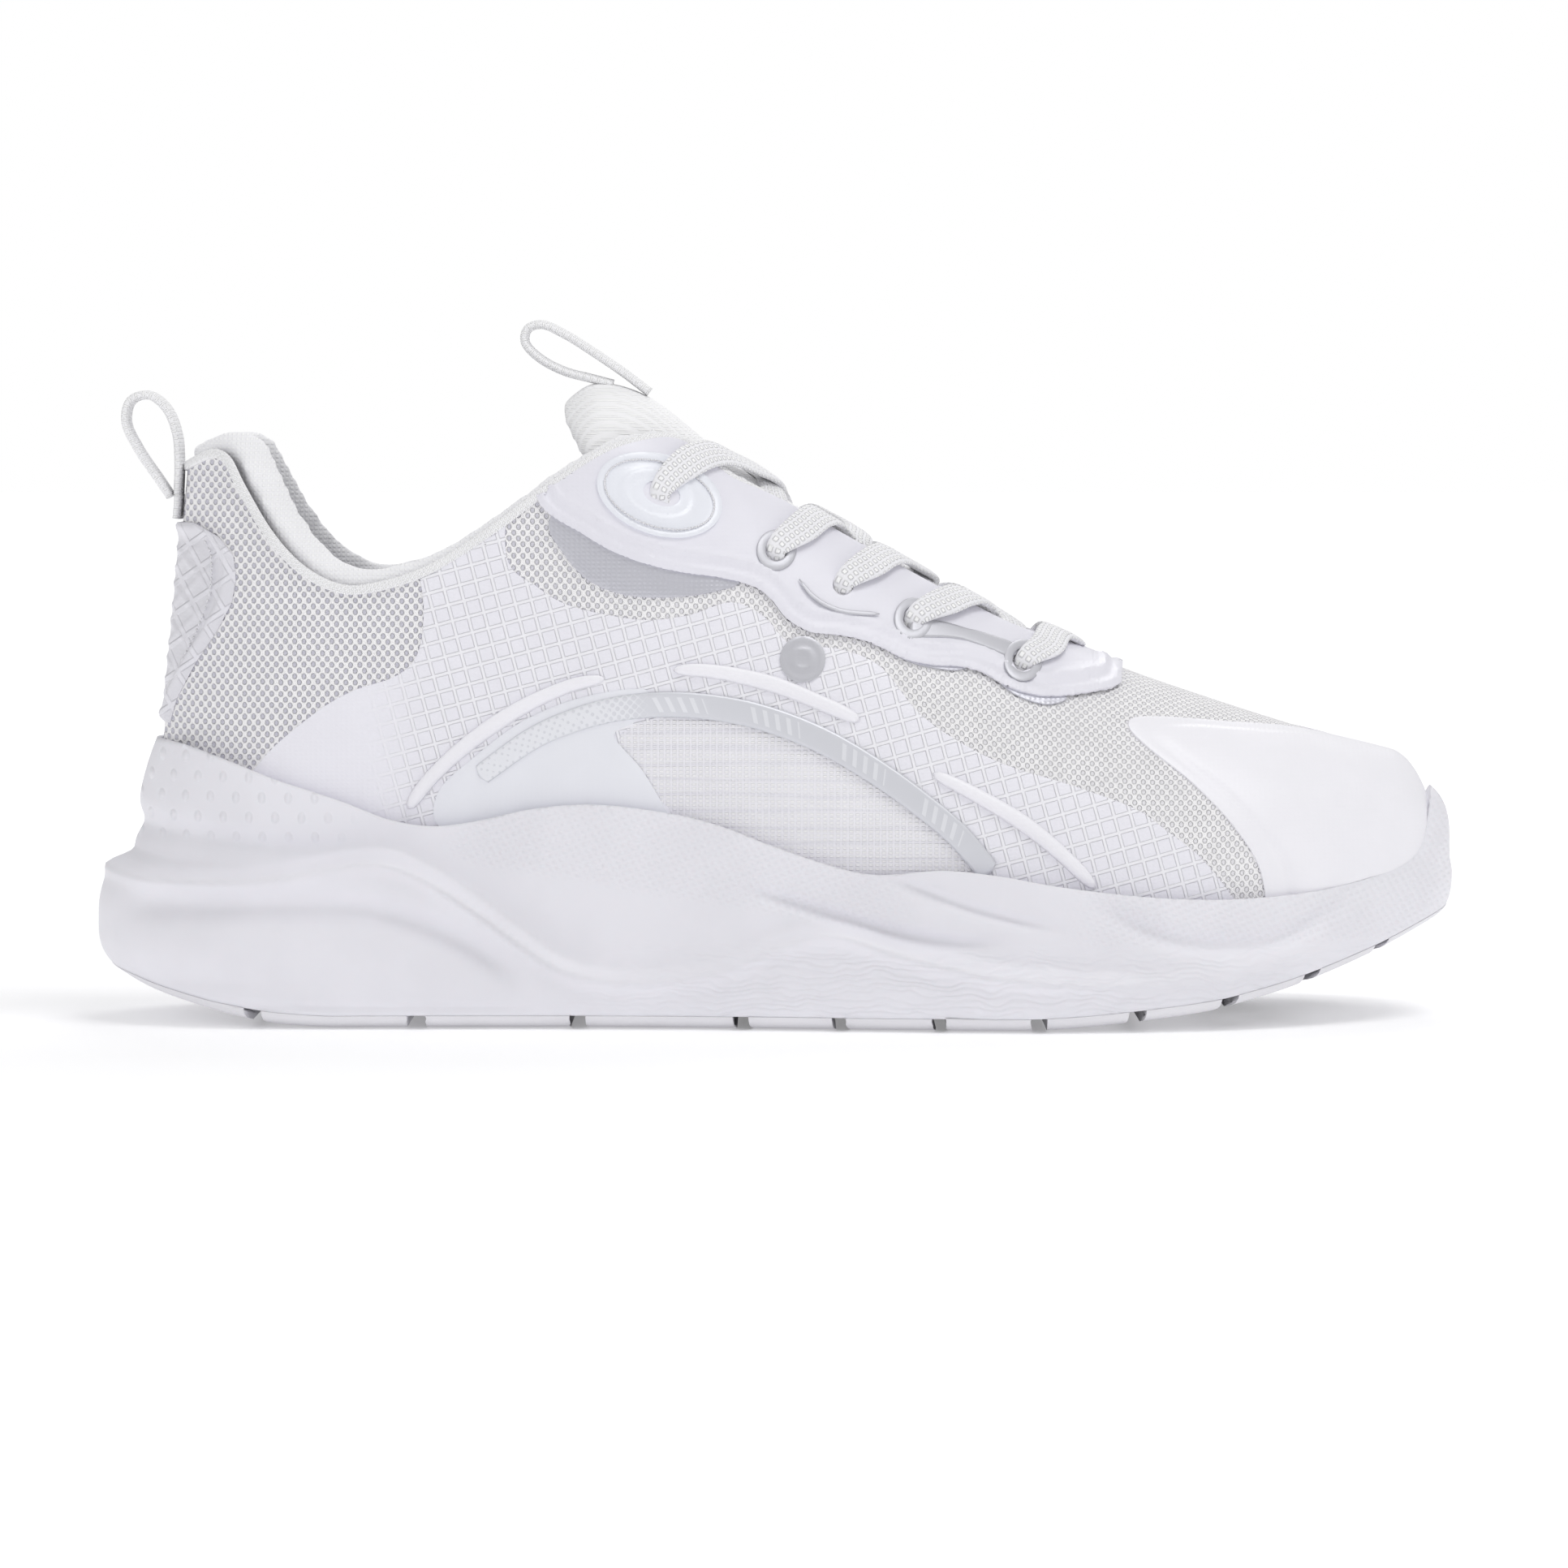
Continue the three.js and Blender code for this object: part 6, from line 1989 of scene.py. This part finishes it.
@dataclass
class Padding:
    """The collar roll and the tongue.

    Attributes:
        roll_end: where the roll ends on each side of the throat.
        wall: the roll's thickness at places along the shoe.
        reach: how far the padding goes down inside, at places along the shoe.
        tongue_top, tongue_root: where the tongue starts and ends.
        tongue_half: half its width.
        tongue_foam: its thickness.
    """

    roll_end: float = 146.0
    wall: Line = Line((15, 9), (60, 9), (85, 7), (100, 4.8), (112, 3.6), (150, 3))
    reach: Line = Line((15, 24), (60, 22), (100, 16), (130, 7), (146, 4))
    tongue_top: float = 98.0
    tongue_root: float = 214.0
    tongue_half: Line = Line(
        (98, 17), (101, 21.5), (106, 25.5), (114, 27), (126, 25.5), (145, 25.5), (170, 23), (200, 19),
        (215, 16)
    )
    tongue_foam: Line = Line((98, 4.5), (104, 7), (140, 5.6), (180, 4.2), (215, 3.2))

    def collar(self, finishes: Finishes) -> None:
        """The padded roll all around the foot opening.

        Args:
            finishes: the shoe's finishes.
        """
        bm, at = Bench.grid(240, 20)
        way = at[:, 0] * 2 - 1
        side = np.where(way < 0, LATERAL, MEDIAL)
        share = Last.share_at(lerp(Last.HEEL_X, self.roll_end, np.abs(way) ** 1.4))
        x = Last.x_at(share)
        edge = Last.edge(share)
        rim = Last.point(side, share, edge, 0.0)
        below = Last.point(side, share, Last.below_edge(share, np.full_like(share, 6.0)), 0.0)
        up = unit_rows(rim - below)
        inner = Last.point(side, share, edge, 8.0)
        inner[:, 2] = rim[:, 2]
        inwards = unit_rows(inner - rim)
        turn = at[:, 1] * 2 * math.pi
        half = self.wall(x) / 2
        low = self.roll_depth(x)
        down = np.where(np.cos(turn) > 0, low, self.reach(x))
        lift = np.sin(turn)
        height = np.where(lift > 0, 1.8 * lift, down * lift)
        spread = np.where(lift > 0, 1.0, 1.0 - 0.45 * np.abs(lift) ** 2)
        across = half - half * np.cos(turn) * spread + 0.35
        ends = np.sqrt(np.clip(1 - np.clip(np.abs(way) * 40 - 39, 0, 1) ** 2, 0.05, 1))
        points = rim + up * (height * ends)[:, None] + inwards * (half + (across - half) * ends)[:, None]
        piece = Bench.finish("collar_pad", bm, points, None, 5e-5)
        cap_holes(piece)
        swell(piece, 1.5, 1.2, 1.5)
        fit(piece, finishes.padding, "collar_knit", "rearfoot", "collar_roll", "collar_foam")
        log.info("collar pad: %d faces", len(piece.data.polygons))

    @staticmethod
    def roll_depth(x: Array) -> Array:
        """How far the roll comes down outside."""
        return Last.roll_depth(x) + 0.8

    def piping(self, finishes: Finishes) -> None:
        """The knitted edging along the outside of the roll.

        Args:
            finishes: the shoe's finishes.
        """
        way = np.linspace(-1, 1, 161)
        side = np.where(way < 0, LATERAL, MEDIAL)
        share = Last.share_at(lerp(Last.HEEL_X, self.roll_end, np.abs(way) ** 1.4))
        drop = np.maximum(Last.roll_depth(Last.x_at(share)) - 0.5, 0.3)
        line = Last.point(side, share, Last.below_edge(share, drop), -0.25)
        under = Last.point(side, share, Last.below_edge(share, drop + 1.5), -0.25)
        wide = np.full(len(way), 2.1)
        piece = ribbon("collar_piping", line, unit_rows(line - under), wide, wide * 0.62, 0.9)
        fit(piece, finishes.webbing, "collar_knit", "rearfoot")

    def tongue(self, finishes: Finishes) -> None:
        """The padded tongue.

        Args:
            finishes: the shoe's finishes.
        """
        bm, at = Bench.grid(90, 80)
        along = at[:, 0]
        x = lerp(self.tongue_top, self.tongue_root, along)
        share = Last.share_at(x)
        turn = at[:, 1] * 2 * math.pi
        reach = np.sin(turn)
        side = np.where(reach < 0, LATERAL, MEDIAL)
        squared = np.abs(reach) ** 0.75
        ends = np.sqrt(np.clip(1 - np.clip(1 - along * 14, 0, 1) ** 2, 0.03, 1))
        ends *= np.sqrt(np.clip(1 - np.clip(1 - (1 - along) * 20, 0, 1) ** 2, 0.03, 1))
        half = self.tongue_half(x) * (0.55 + 0.45 * ends)
        v = Last.v_at_width(share, np.minimum(half * squared, half * 0.999))
        v = np.where(squared < 0.02, 1.0, v)
        beside = Last.edge(share)
        front = lerp(4.9, 3.4, smooth(v, beside + 0.01, beside + 0.1))
        crown = smooth(v, 0.8, 0.97) * (1 - smooth(x, 118, 140))
        front = lerp(front, 0.5, crown) + 5 * (1 - smooth(x, 98, 111))
        foam = self.tongue_foam(x) * ends
        middle = front + self.tongue_foam(x) / 2
        bulge = np.sign(np.cos(turn)) * np.abs(np.cos(turn)) ** 0.55
        points = Last.point(side, share, v, middle - foam / 2 * bulge)
        piece = Bench.finish("tongue_pad", bm, points, None, 5e-5)
        cap_holes(piece)
        swell(piece, 1.6, 1.0, 1.2)
        fit(piece, finishes.tongue, "tongue_knit", "tongue", "tongue_face", "tongue_foam", "tongue_lining")
        log.info("tongue pad: %d faces", len(piece.data.polygons))

    def build(self, finishes: Finishes) -> None:
        """Makes both pads.

        Args:
            finishes: the shoe's finishes.
        """
        self.collar(finishes)
        self.piping(finishes)
        self.tongue(finishes)


def ribbon(
    name: str, path: Array, across: Array, width: Array, thick: Array, spacing: float = 0.9,
) -> Piece:
    """A flat woven band swept along a path.

    Args:
        name: the piece's name.
        path: the points that it follows.
        across: the way across it at each.
        width: its width at each.
        thick: its thickness at each.
        spacing: the distance between its sections.

    Returns:
        The band, whose pattern runs along it.
    """
    ways = across.copy()
    for i in range(1, len(ways)):
        if np.dot(ways[i], ways[i - 1]) < 0:
            ways[i] = -ways[i]
    table = np.concatenate([path, ways, width[:, None], thick[:, None]], axis=1)
    fine = centripetal(table, spacing)
    middle, ways, wide, deep = fine[:, :3], fine[:, 3:6], fine[:, 6], fine[:, 7]
    along = unit_rows(np.gradient(middle, axis=0))
    ways = unit_rows(ways - along * np.sum(ways * along, axis=1, keepdims=True))
    lift = np.cross(along, ways)
    length = np.concatenate([[0.0], np.cumsum(np.linalg.norm(np.diff(middle, axis=0), axis=1))])
    bm, at = Bench.grid(len(middle) - 1, 16)
    index = np.rint(at[:, 0] * (len(middle) - 1)).astype(int)
    angle = at[:, 1] * 2 * math.pi
    squared = lambda value, power: np.sign(value) * np.abs(value) ** power
    out = squared(np.cos(angle), 0.7) * wide[index] / 2
    high = squared(np.sin(angle), 0.8) * deep[index] / 2
    points = middle[index] + ways[index] * out[:, None] + lift[index] * high[:, None]
    piece = Bench.finish(name, bm, points, np.stack([out, length[index]], axis=-1), 1e-5)
    cap_holes(piece)
    return piece


def centripetal(table: Array, spacing: float) -> Array:
    """Rows of numbers, made smooth and evenly spaced by their first three.

    Args:
        table: the rows.
        spacing: the distance between the new rows.

    Returns:
        The values.
    """
    chord = np.linalg.norm(np.diff(table[:, :3], axis=0), axis=1)
    knots = np.concatenate([[0.0], np.cumsum(np.maximum(chord, 1e-6) ** 0.5)])
    slopes = np.gradient(table, knots, axis=0)
    rows = []
    for i, length in enumerate(chord):
        steps = max(1, int(round(length / spacing)))
        t = (np.arange(steps) / steps)[:, None]
        u, span = 1 - t, knots[i + 1] - knots[i]
        rise = u * u * (1 + 2 * t) * table[i] + t * t * (3 - 2 * t) * table[i + 1]
        rows.append(rise + span * t * u * (u * slopes[i] - t * slopes[i + 1]))
    rows.append(table[-1:])
    return np.concatenate(rows)


@dataclass
class Lace:
    """The flat lace, crossing over itself from the lowest eyelets to the top ones.

    Attributes:
        width: the lace's width.
        thick: its thickness.
        under: how far inside the last it runs below the facing.
        over: how far inside the last it runs above it, which is negative.
        lean: how far towards the toe a strand has moved where it crosses the ridge.
        holes: the lace holes on each side, from the toe up.
    """

    width: float = 7.4
    thick: float = 1.7
    under: float = 4.1
    over: float = -2.2
    lean: float = 10.5
    holes: tuple[tuple[float, float], ...] = (*Upper.eyelets, (124.2, 113.4))

    def ring(self, side: int, x: float, v: float, inset: float, width: float, thick: float) -> Array:
        """One section of the lace: its place, its way across, its width and its thickness.

        Args:
            side: LATERAL or MEDIAL.
            x: the place along the shoe.
            v: the place up the wall, 0 to 1.
            inset: how far inside the last.
            width: its width.
            thick: its thickness.

        Returns:
            The values.
        """
        share = np.array([Last.share_at(x)])
        fore = Last.point(side, share + 0.005, np.array([v]), inset)
        back = Last.point(side, share - 0.005, np.array([v]), inset)
        here = Last.point(side, share, np.array([v]), inset)
        return np.concatenate([here[0], unit_rows(fore - back)[0], [width, thick]])

    def through(self, side: int, row: int) -> list[Array]:
        """Down through a hole.

        Args:
            side: LATERAL or MEDIAL.
            row: the row of holes, from 0 at the toe end.

        Returns:
            The sections, one after another.
        """
        x, z = self.holes[row]
        share = np.array([Last.share_at(x)])
        v = Last.v_at_height(share, np.array([z]))[0]
        depth = self.under + (1.4 if row == 4 else -0.3)
        return [self.ring(side, x, v, self.over + 0.4, 4.6, 1.8), self.ring(side, x, v, depth, 3.4, 2.0)]

    def crossing(
        self, side: int, row: int, part: float, reach: float, inset: float, width: float = 0.0
    ) -> Array:
        """A place between a hole (0), the throat edge over it (1) and the ridge (2).

        Args:
            side: LATERAL or MEDIAL.
            row: the row of holes, from 0 at the toe end.
            part: how far it is on the way to the next row, 0 to 1.
            reach: how far it is from the hole, 0 to 2.
            inset: how far inside the last.
            width: its width, or 0 for the lace's own.

        Returns:
            The values.
        """
        x = lerp(self.holes[row][0], self.holes[row + 1][0], part)
        z = lerp(self.holes[row][1], self.holes[row + 1][1], part)
        share = np.array([Last.share_at(x)])
        z_stop = float(Last.v_at_height(share, np.array([z]))[0])
        x += self.lean * (reach / 2) ** 0.6
        share = np.array([Last.share_at(x)])
        stops = (z_stop, float(Last.edge(share)[0]), 1.0)
        stop = min(int(reach), 1)
        v = lerp(stops[stop], stops[stop + 1], reach - stop)
        return self.ring(side, x, v, inset, width or self.width, self.thick)

    def strand(self, side: int, row: int, lift: float) -> list[Array]:
        """From under one facing, out over the tongue, and onto the other facing at the next row.

        Args:
            side: LATERAL or MEDIAL.
            row: the row of holes, from 0 at the toe end.
            lift: how far it is raised over the other half.

        Returns:
            The sections, one after another.
        """
        return [
            self.crossing(side, row, 0.2, 1.0, self.under, 4.8),
            self.crossing(side, row, 0.38, 1.45, self.under - 0.8 - lift),
            self.crossing(side, row, 0.5, 2.0, self.under - 1.6 - lift),
            self.crossing(-side, row, 0.62, 1.45, self.under - 2.8 - lift),
            self.crossing(-side, row, 0.8, 1.0, self.over - 0.2),
            self.crossing(-side, row, 0.93, 0.45, self.over - 0.9),
            *self.through(-side, row + 1),
        ]

    def half(self, first: int, lift: float) -> list[Array]:
        """Half the lace, from the bar across the lowest row to its hidden end.

        Args:
            first: the side that it starts on.
            lift: how far it is raised over the other half.

        Returns:
            The sections, one after another.
        """
        rings = [
            self.crossing(first, 0, 0, 1, self.over - 0.3),
            self.crossing(first, 0, 0, 0.45, self.over - 0.3),
            *self.through(first, 0),
        ]
        side = first
        for row in range(4):
            rings.extend(self.strand(side, row, lift))
            side = -side
        x, z = self.holes[4]
        for drop in (7, 15, 24):
            share = np.array([Last.share_at(x)])
            v = Last.v_at_height(share, np.array([z - drop]))[0]
            rings.append(self.ring(side, x + drop * 0.1, v, 6.6, 4.6, self.thick))
        return rings

    def build(self, finishes: Finishes) -> None:
        """Makes the lace.

        Args:
            finishes: the shoe's finishes.
        """
        middle = self.crossing(LATERAL, 0, 0, 2, self.over + 0.6)
        rings = np.array([*reversed(self.half(MEDIAL, 0.0)), middle, *self.half(LATERAL, 1.7)])
        piece = ribbon("flat_lace_woven", rings[:, :3], rings[:, 3:6], rings[:, 6], rings[:, 7], 0.8)
        fit(piece, finishes.lace, "lace", "rearfoot", "lace")
        log.info("lace: %d faces", len(piece.data.polygons))


@dataclass
class Loops:
    """The pull loops of webbing at the heel and the tongue.

    Attributes:
        width: the webbing's width.
        thick: its thickness.
        heel, anchor, tongue: the path of each band, seen from the side.
    """

    width: float = 12.0
    thick: float = 2.0
    heel = (
        (16.2, 113.6), (13.6, 117.5), (9.2, 124), (6.5, 130), (7.6, 134.6), (11.5, 135.8), (15.3, 133),
        (17.6, 127.5), (18.1, 121), (17.9, 114.2)
    )
    anchor = ((18.0, 114.2), (17.9, 112.4), (17.75, 110.6), (17.6, 108.8))
    tongue = (
        (121, 136.4), (115.5, 140.6), (109, 145), (102.6, 149), (97.4, 151.2), (94.4, 150.2), (93.8, 147.4),
        (96.8, 144), (102.4, 141), (108.4, 139.4), (113, 138.2)
    )

    def loop(self, name: str, path: Points, width: float, middle: float) -> Piece:
        """A band of webbing bent along a path in the shoe's middle plane.

        Args:
            name: the piece's name.
            path: the places it follows, seen from the side.
            width: its width.
            middle: how far across its middle is.

        Returns:
            The piece.
        """
        line = np.array([(x, middle, z) for x, z in path], float)
        count = len(line)
        across = np.tile([0.0, 1.0, 0.0], (count, 1))
        return ribbon(name, line, across, np.full(count, width), np.full(count, self.thick))

    def build(self, finishes: Finishes) -> None:
        """Makes the loops and the heel loop's anchor.

        Args:
            finishes: the shoe's finishes.
        """
        heel = self.loop("heel_pull_webbing", self.heel, self.width, 0.0)
        anchor = self.loop("heel_pull_anchor", self.anchor, self.width, 0.0)
        tongue = self.loop("tongue_pull_webbing", self.tongue, 10.0, float(Last.centre(105.0)))
        for piece, node, body in (
            (heel, "heel_loop", "heel_loop"), (anchor, "heel_loop_anchor", "rearfoot"),
            (tongue, "tongue_loop", "tongue_loop")
        ):
            fit(piece, finishes.webbing, "webbing", body, node)
        log.info("loops: heel and tongue")


@dataclass
class Insole:
    """The sockliner and board under the foot, and the stiffeners inside the shell."""

    def build(self, finishes: Finishes) -> None:
        """Dresses the hidden nodes and makes the sockliner.

        Args:
            finishes: the shoe's finishes.
        """
        bm, at = Bench.grid(140, 24)
        x = lerp(20.0, 288.0, Upper.spread(at[:, 0]))
        share = Last.share_at(x)
        rim = [Last.point(side, share, np.full_like(share, 0.035), 6.0) for side in (LATERAL, MEDIAL)]
        across = at[:, 1][:, None]
        points = lerp(rim[0], rim[1], across)
        points[:, 2] = Last.footbed(x) + 6.6 + 1.4 * np.abs(at[:, 1] * 2 - 1) ** 4
        piece = Bench.finish("sockliner_moulded", bm, points, points[:, :2], 2e-5)
        Bench.thicken(piece, 4.2, 0.5)
        if piece.data.polygons[0].normal.z < 0:
            piece.data.flip_normals()
        fit(piece, finishes.insole, "sockliner", BENDS, "sockliner_rear", "sockliner_forefoot")
        for node, finish in (
            ("strobel_board_rear", finishes.board), ("strobel_board_forefoot", finishes.board),
            ("heel_counter", finishes.stiff), ("toe_puff", finishes.stiff),
        ):
            dress(bpy.data.objects[node], finish)
        log.info("insole: sockliner and hidden boards")


# ---- Studio ---------------------------------------------------------------------------------------------


@dataclass
class Studio:
    """The camera, soft lights and pale floor.

    Attributes:
        distance: from the camera to the near side of the shoe, in metres.
        width: what the picture takes in there, in metres.
        aim: the middle of the picture.
        rise: how far above level the camera is, in degrees.
        sky: the brightness of the room around.
    """

    distance: float = 1.45
    width: float = 0.3343
    aim: tuple[float, float, float] = (0.0014, -0.045, 0.0528)
    rise: float = 3.0
    sky: float = 0.55

    def camera(self) -> None:
        """Sets the camera."""
        data = bpy.data.cameras.new("camera")
        data.sensor_width = 36.0
        data.lens = 36.0 * self.distance / self.width
        data.clip_start, data.clip_end = 0.05, 30.0
        eye = bpy.data.objects.new("camera", data)
        lift = math.radians(self.rise)
        away = Vector((0.0, -math.cos(lift), math.sin(lift))) * self.distance
        eye.location = Vector(self.aim) + away
        eye.rotation_euler = away.to_track_quat("Z", "Y").to_euler()
        bpy.context.scene.collection.objects.link(eye)
        bpy.context.scene.camera = eye

    def light(self, name: str, place: Sequence[float], size: float, power: float) -> None:
        """A large soft light aimed at the shoe.

        Args:
            name: the light's name.
            place: where it is, in metres.
            size: how wide it is, in metres.
            power: its power, in watts.
        """
        data = bpy.data.lights.new(name, "AREA")
        data.shape = "DISK"
        data.size = size
        data.energy = power
        lamp = bpy.data.objects.new(name, data)
        lamp.location = place
        lamp.rotation_euler = (Vector(place) - Vector((0.0, 0.0, 0.05))).to_track_quat("Z", "Y").to_euler()
        bpy.context.scene.collection.objects.link(lamp)

    def floor(self) -> None:
        """A pale floor that runs far behind the shoe."""
        bm = bmesh.new()
        bmesh.ops.create_grid(bm, x_segments=2, y_segments=2, size=12.0)
        mesh = bpy.data.meshes.new("studio_floor")
        bm.to_mesh(mesh)
        bm.free()
        floor = bpy.data.objects.new("studio_floor", mesh)
        bpy.context.scene.collection.objects.link(floor)
        nodes = Nodes("pale_floor")
        nodes.shader.inputs["Base Color"].default_value = (0.93, 0.93, 0.94, 1.0)
        x, y, _ = nodes.axes(nodes.place(Space.OBJECT, (1000, 1000, 1000)))
        away = nodes.math("SQRT", nodes.plus(nodes.times(x, x), nodes.times(y, y)))
        glow = nodes.plus(nodes.times(nodes.ramp(away, 0.25, 0.9), 0.4), 0.2)
        nodes.surface(
            0.9, Specular_IOR_Level=0.1, Emission_Color=(1.0, 1.0, 1.0, 1.0), Emission_Strength=glow
        )
        dress(floor, nodes.material)

    def build(self) -> None:
        """Sets everything."""
        world = bpy.data.worlds.new("studio")
        bpy.context.scene.world = world
        world.use_nodes = True
        room = world.node_tree.nodes["Background"]
        room.inputs["Color"].default_value = (1.0, 1.0, 1.0, 1.0)
        seen = world.node_tree.nodes.new("ShaderNodeLightPath")
        level = world.node_tree.nodes.new("ShaderNodeMapRange")
        level.inputs["To Min"].default_value = self.sky
        level.inputs["To Max"].default_value = 1.0
        world.node_tree.links.new(seen.outputs["Is Camera Ray"], level.inputs["Value"])
        world.node_tree.links.new(level.outputs["Result"], room.inputs["Strength"])
        bpy.context.scene.view_settings.view_transform = "Standard"
        self.camera()
        self.light("key", (0.4, -0.35, 1.25), 0.7, 5.0)
        self.light("fill", (-0.9, -0.9, 0.6), 0.8, 1.0)
        self.light("back", (0.1, 0.9, 0.9), 0.7, 3.0)
        self.floor()


def main() -> None:
    """Builds the shoe and its studio."""
    logging.basicConfig(level=logging.INFO, format="%(name)s: %(message)s")
    Studio().build()
    sole = Sole()
    Bench.settle(sole)
    finishes = Finishes()
    sole.build(finishes)
    Upper().build(finishes)
    Padding().build(finishes)
    Lace().build(finishes)
    Loops().build(finishes)
    Insole().build(finishes)


if __name__ == "__main__":
    main()
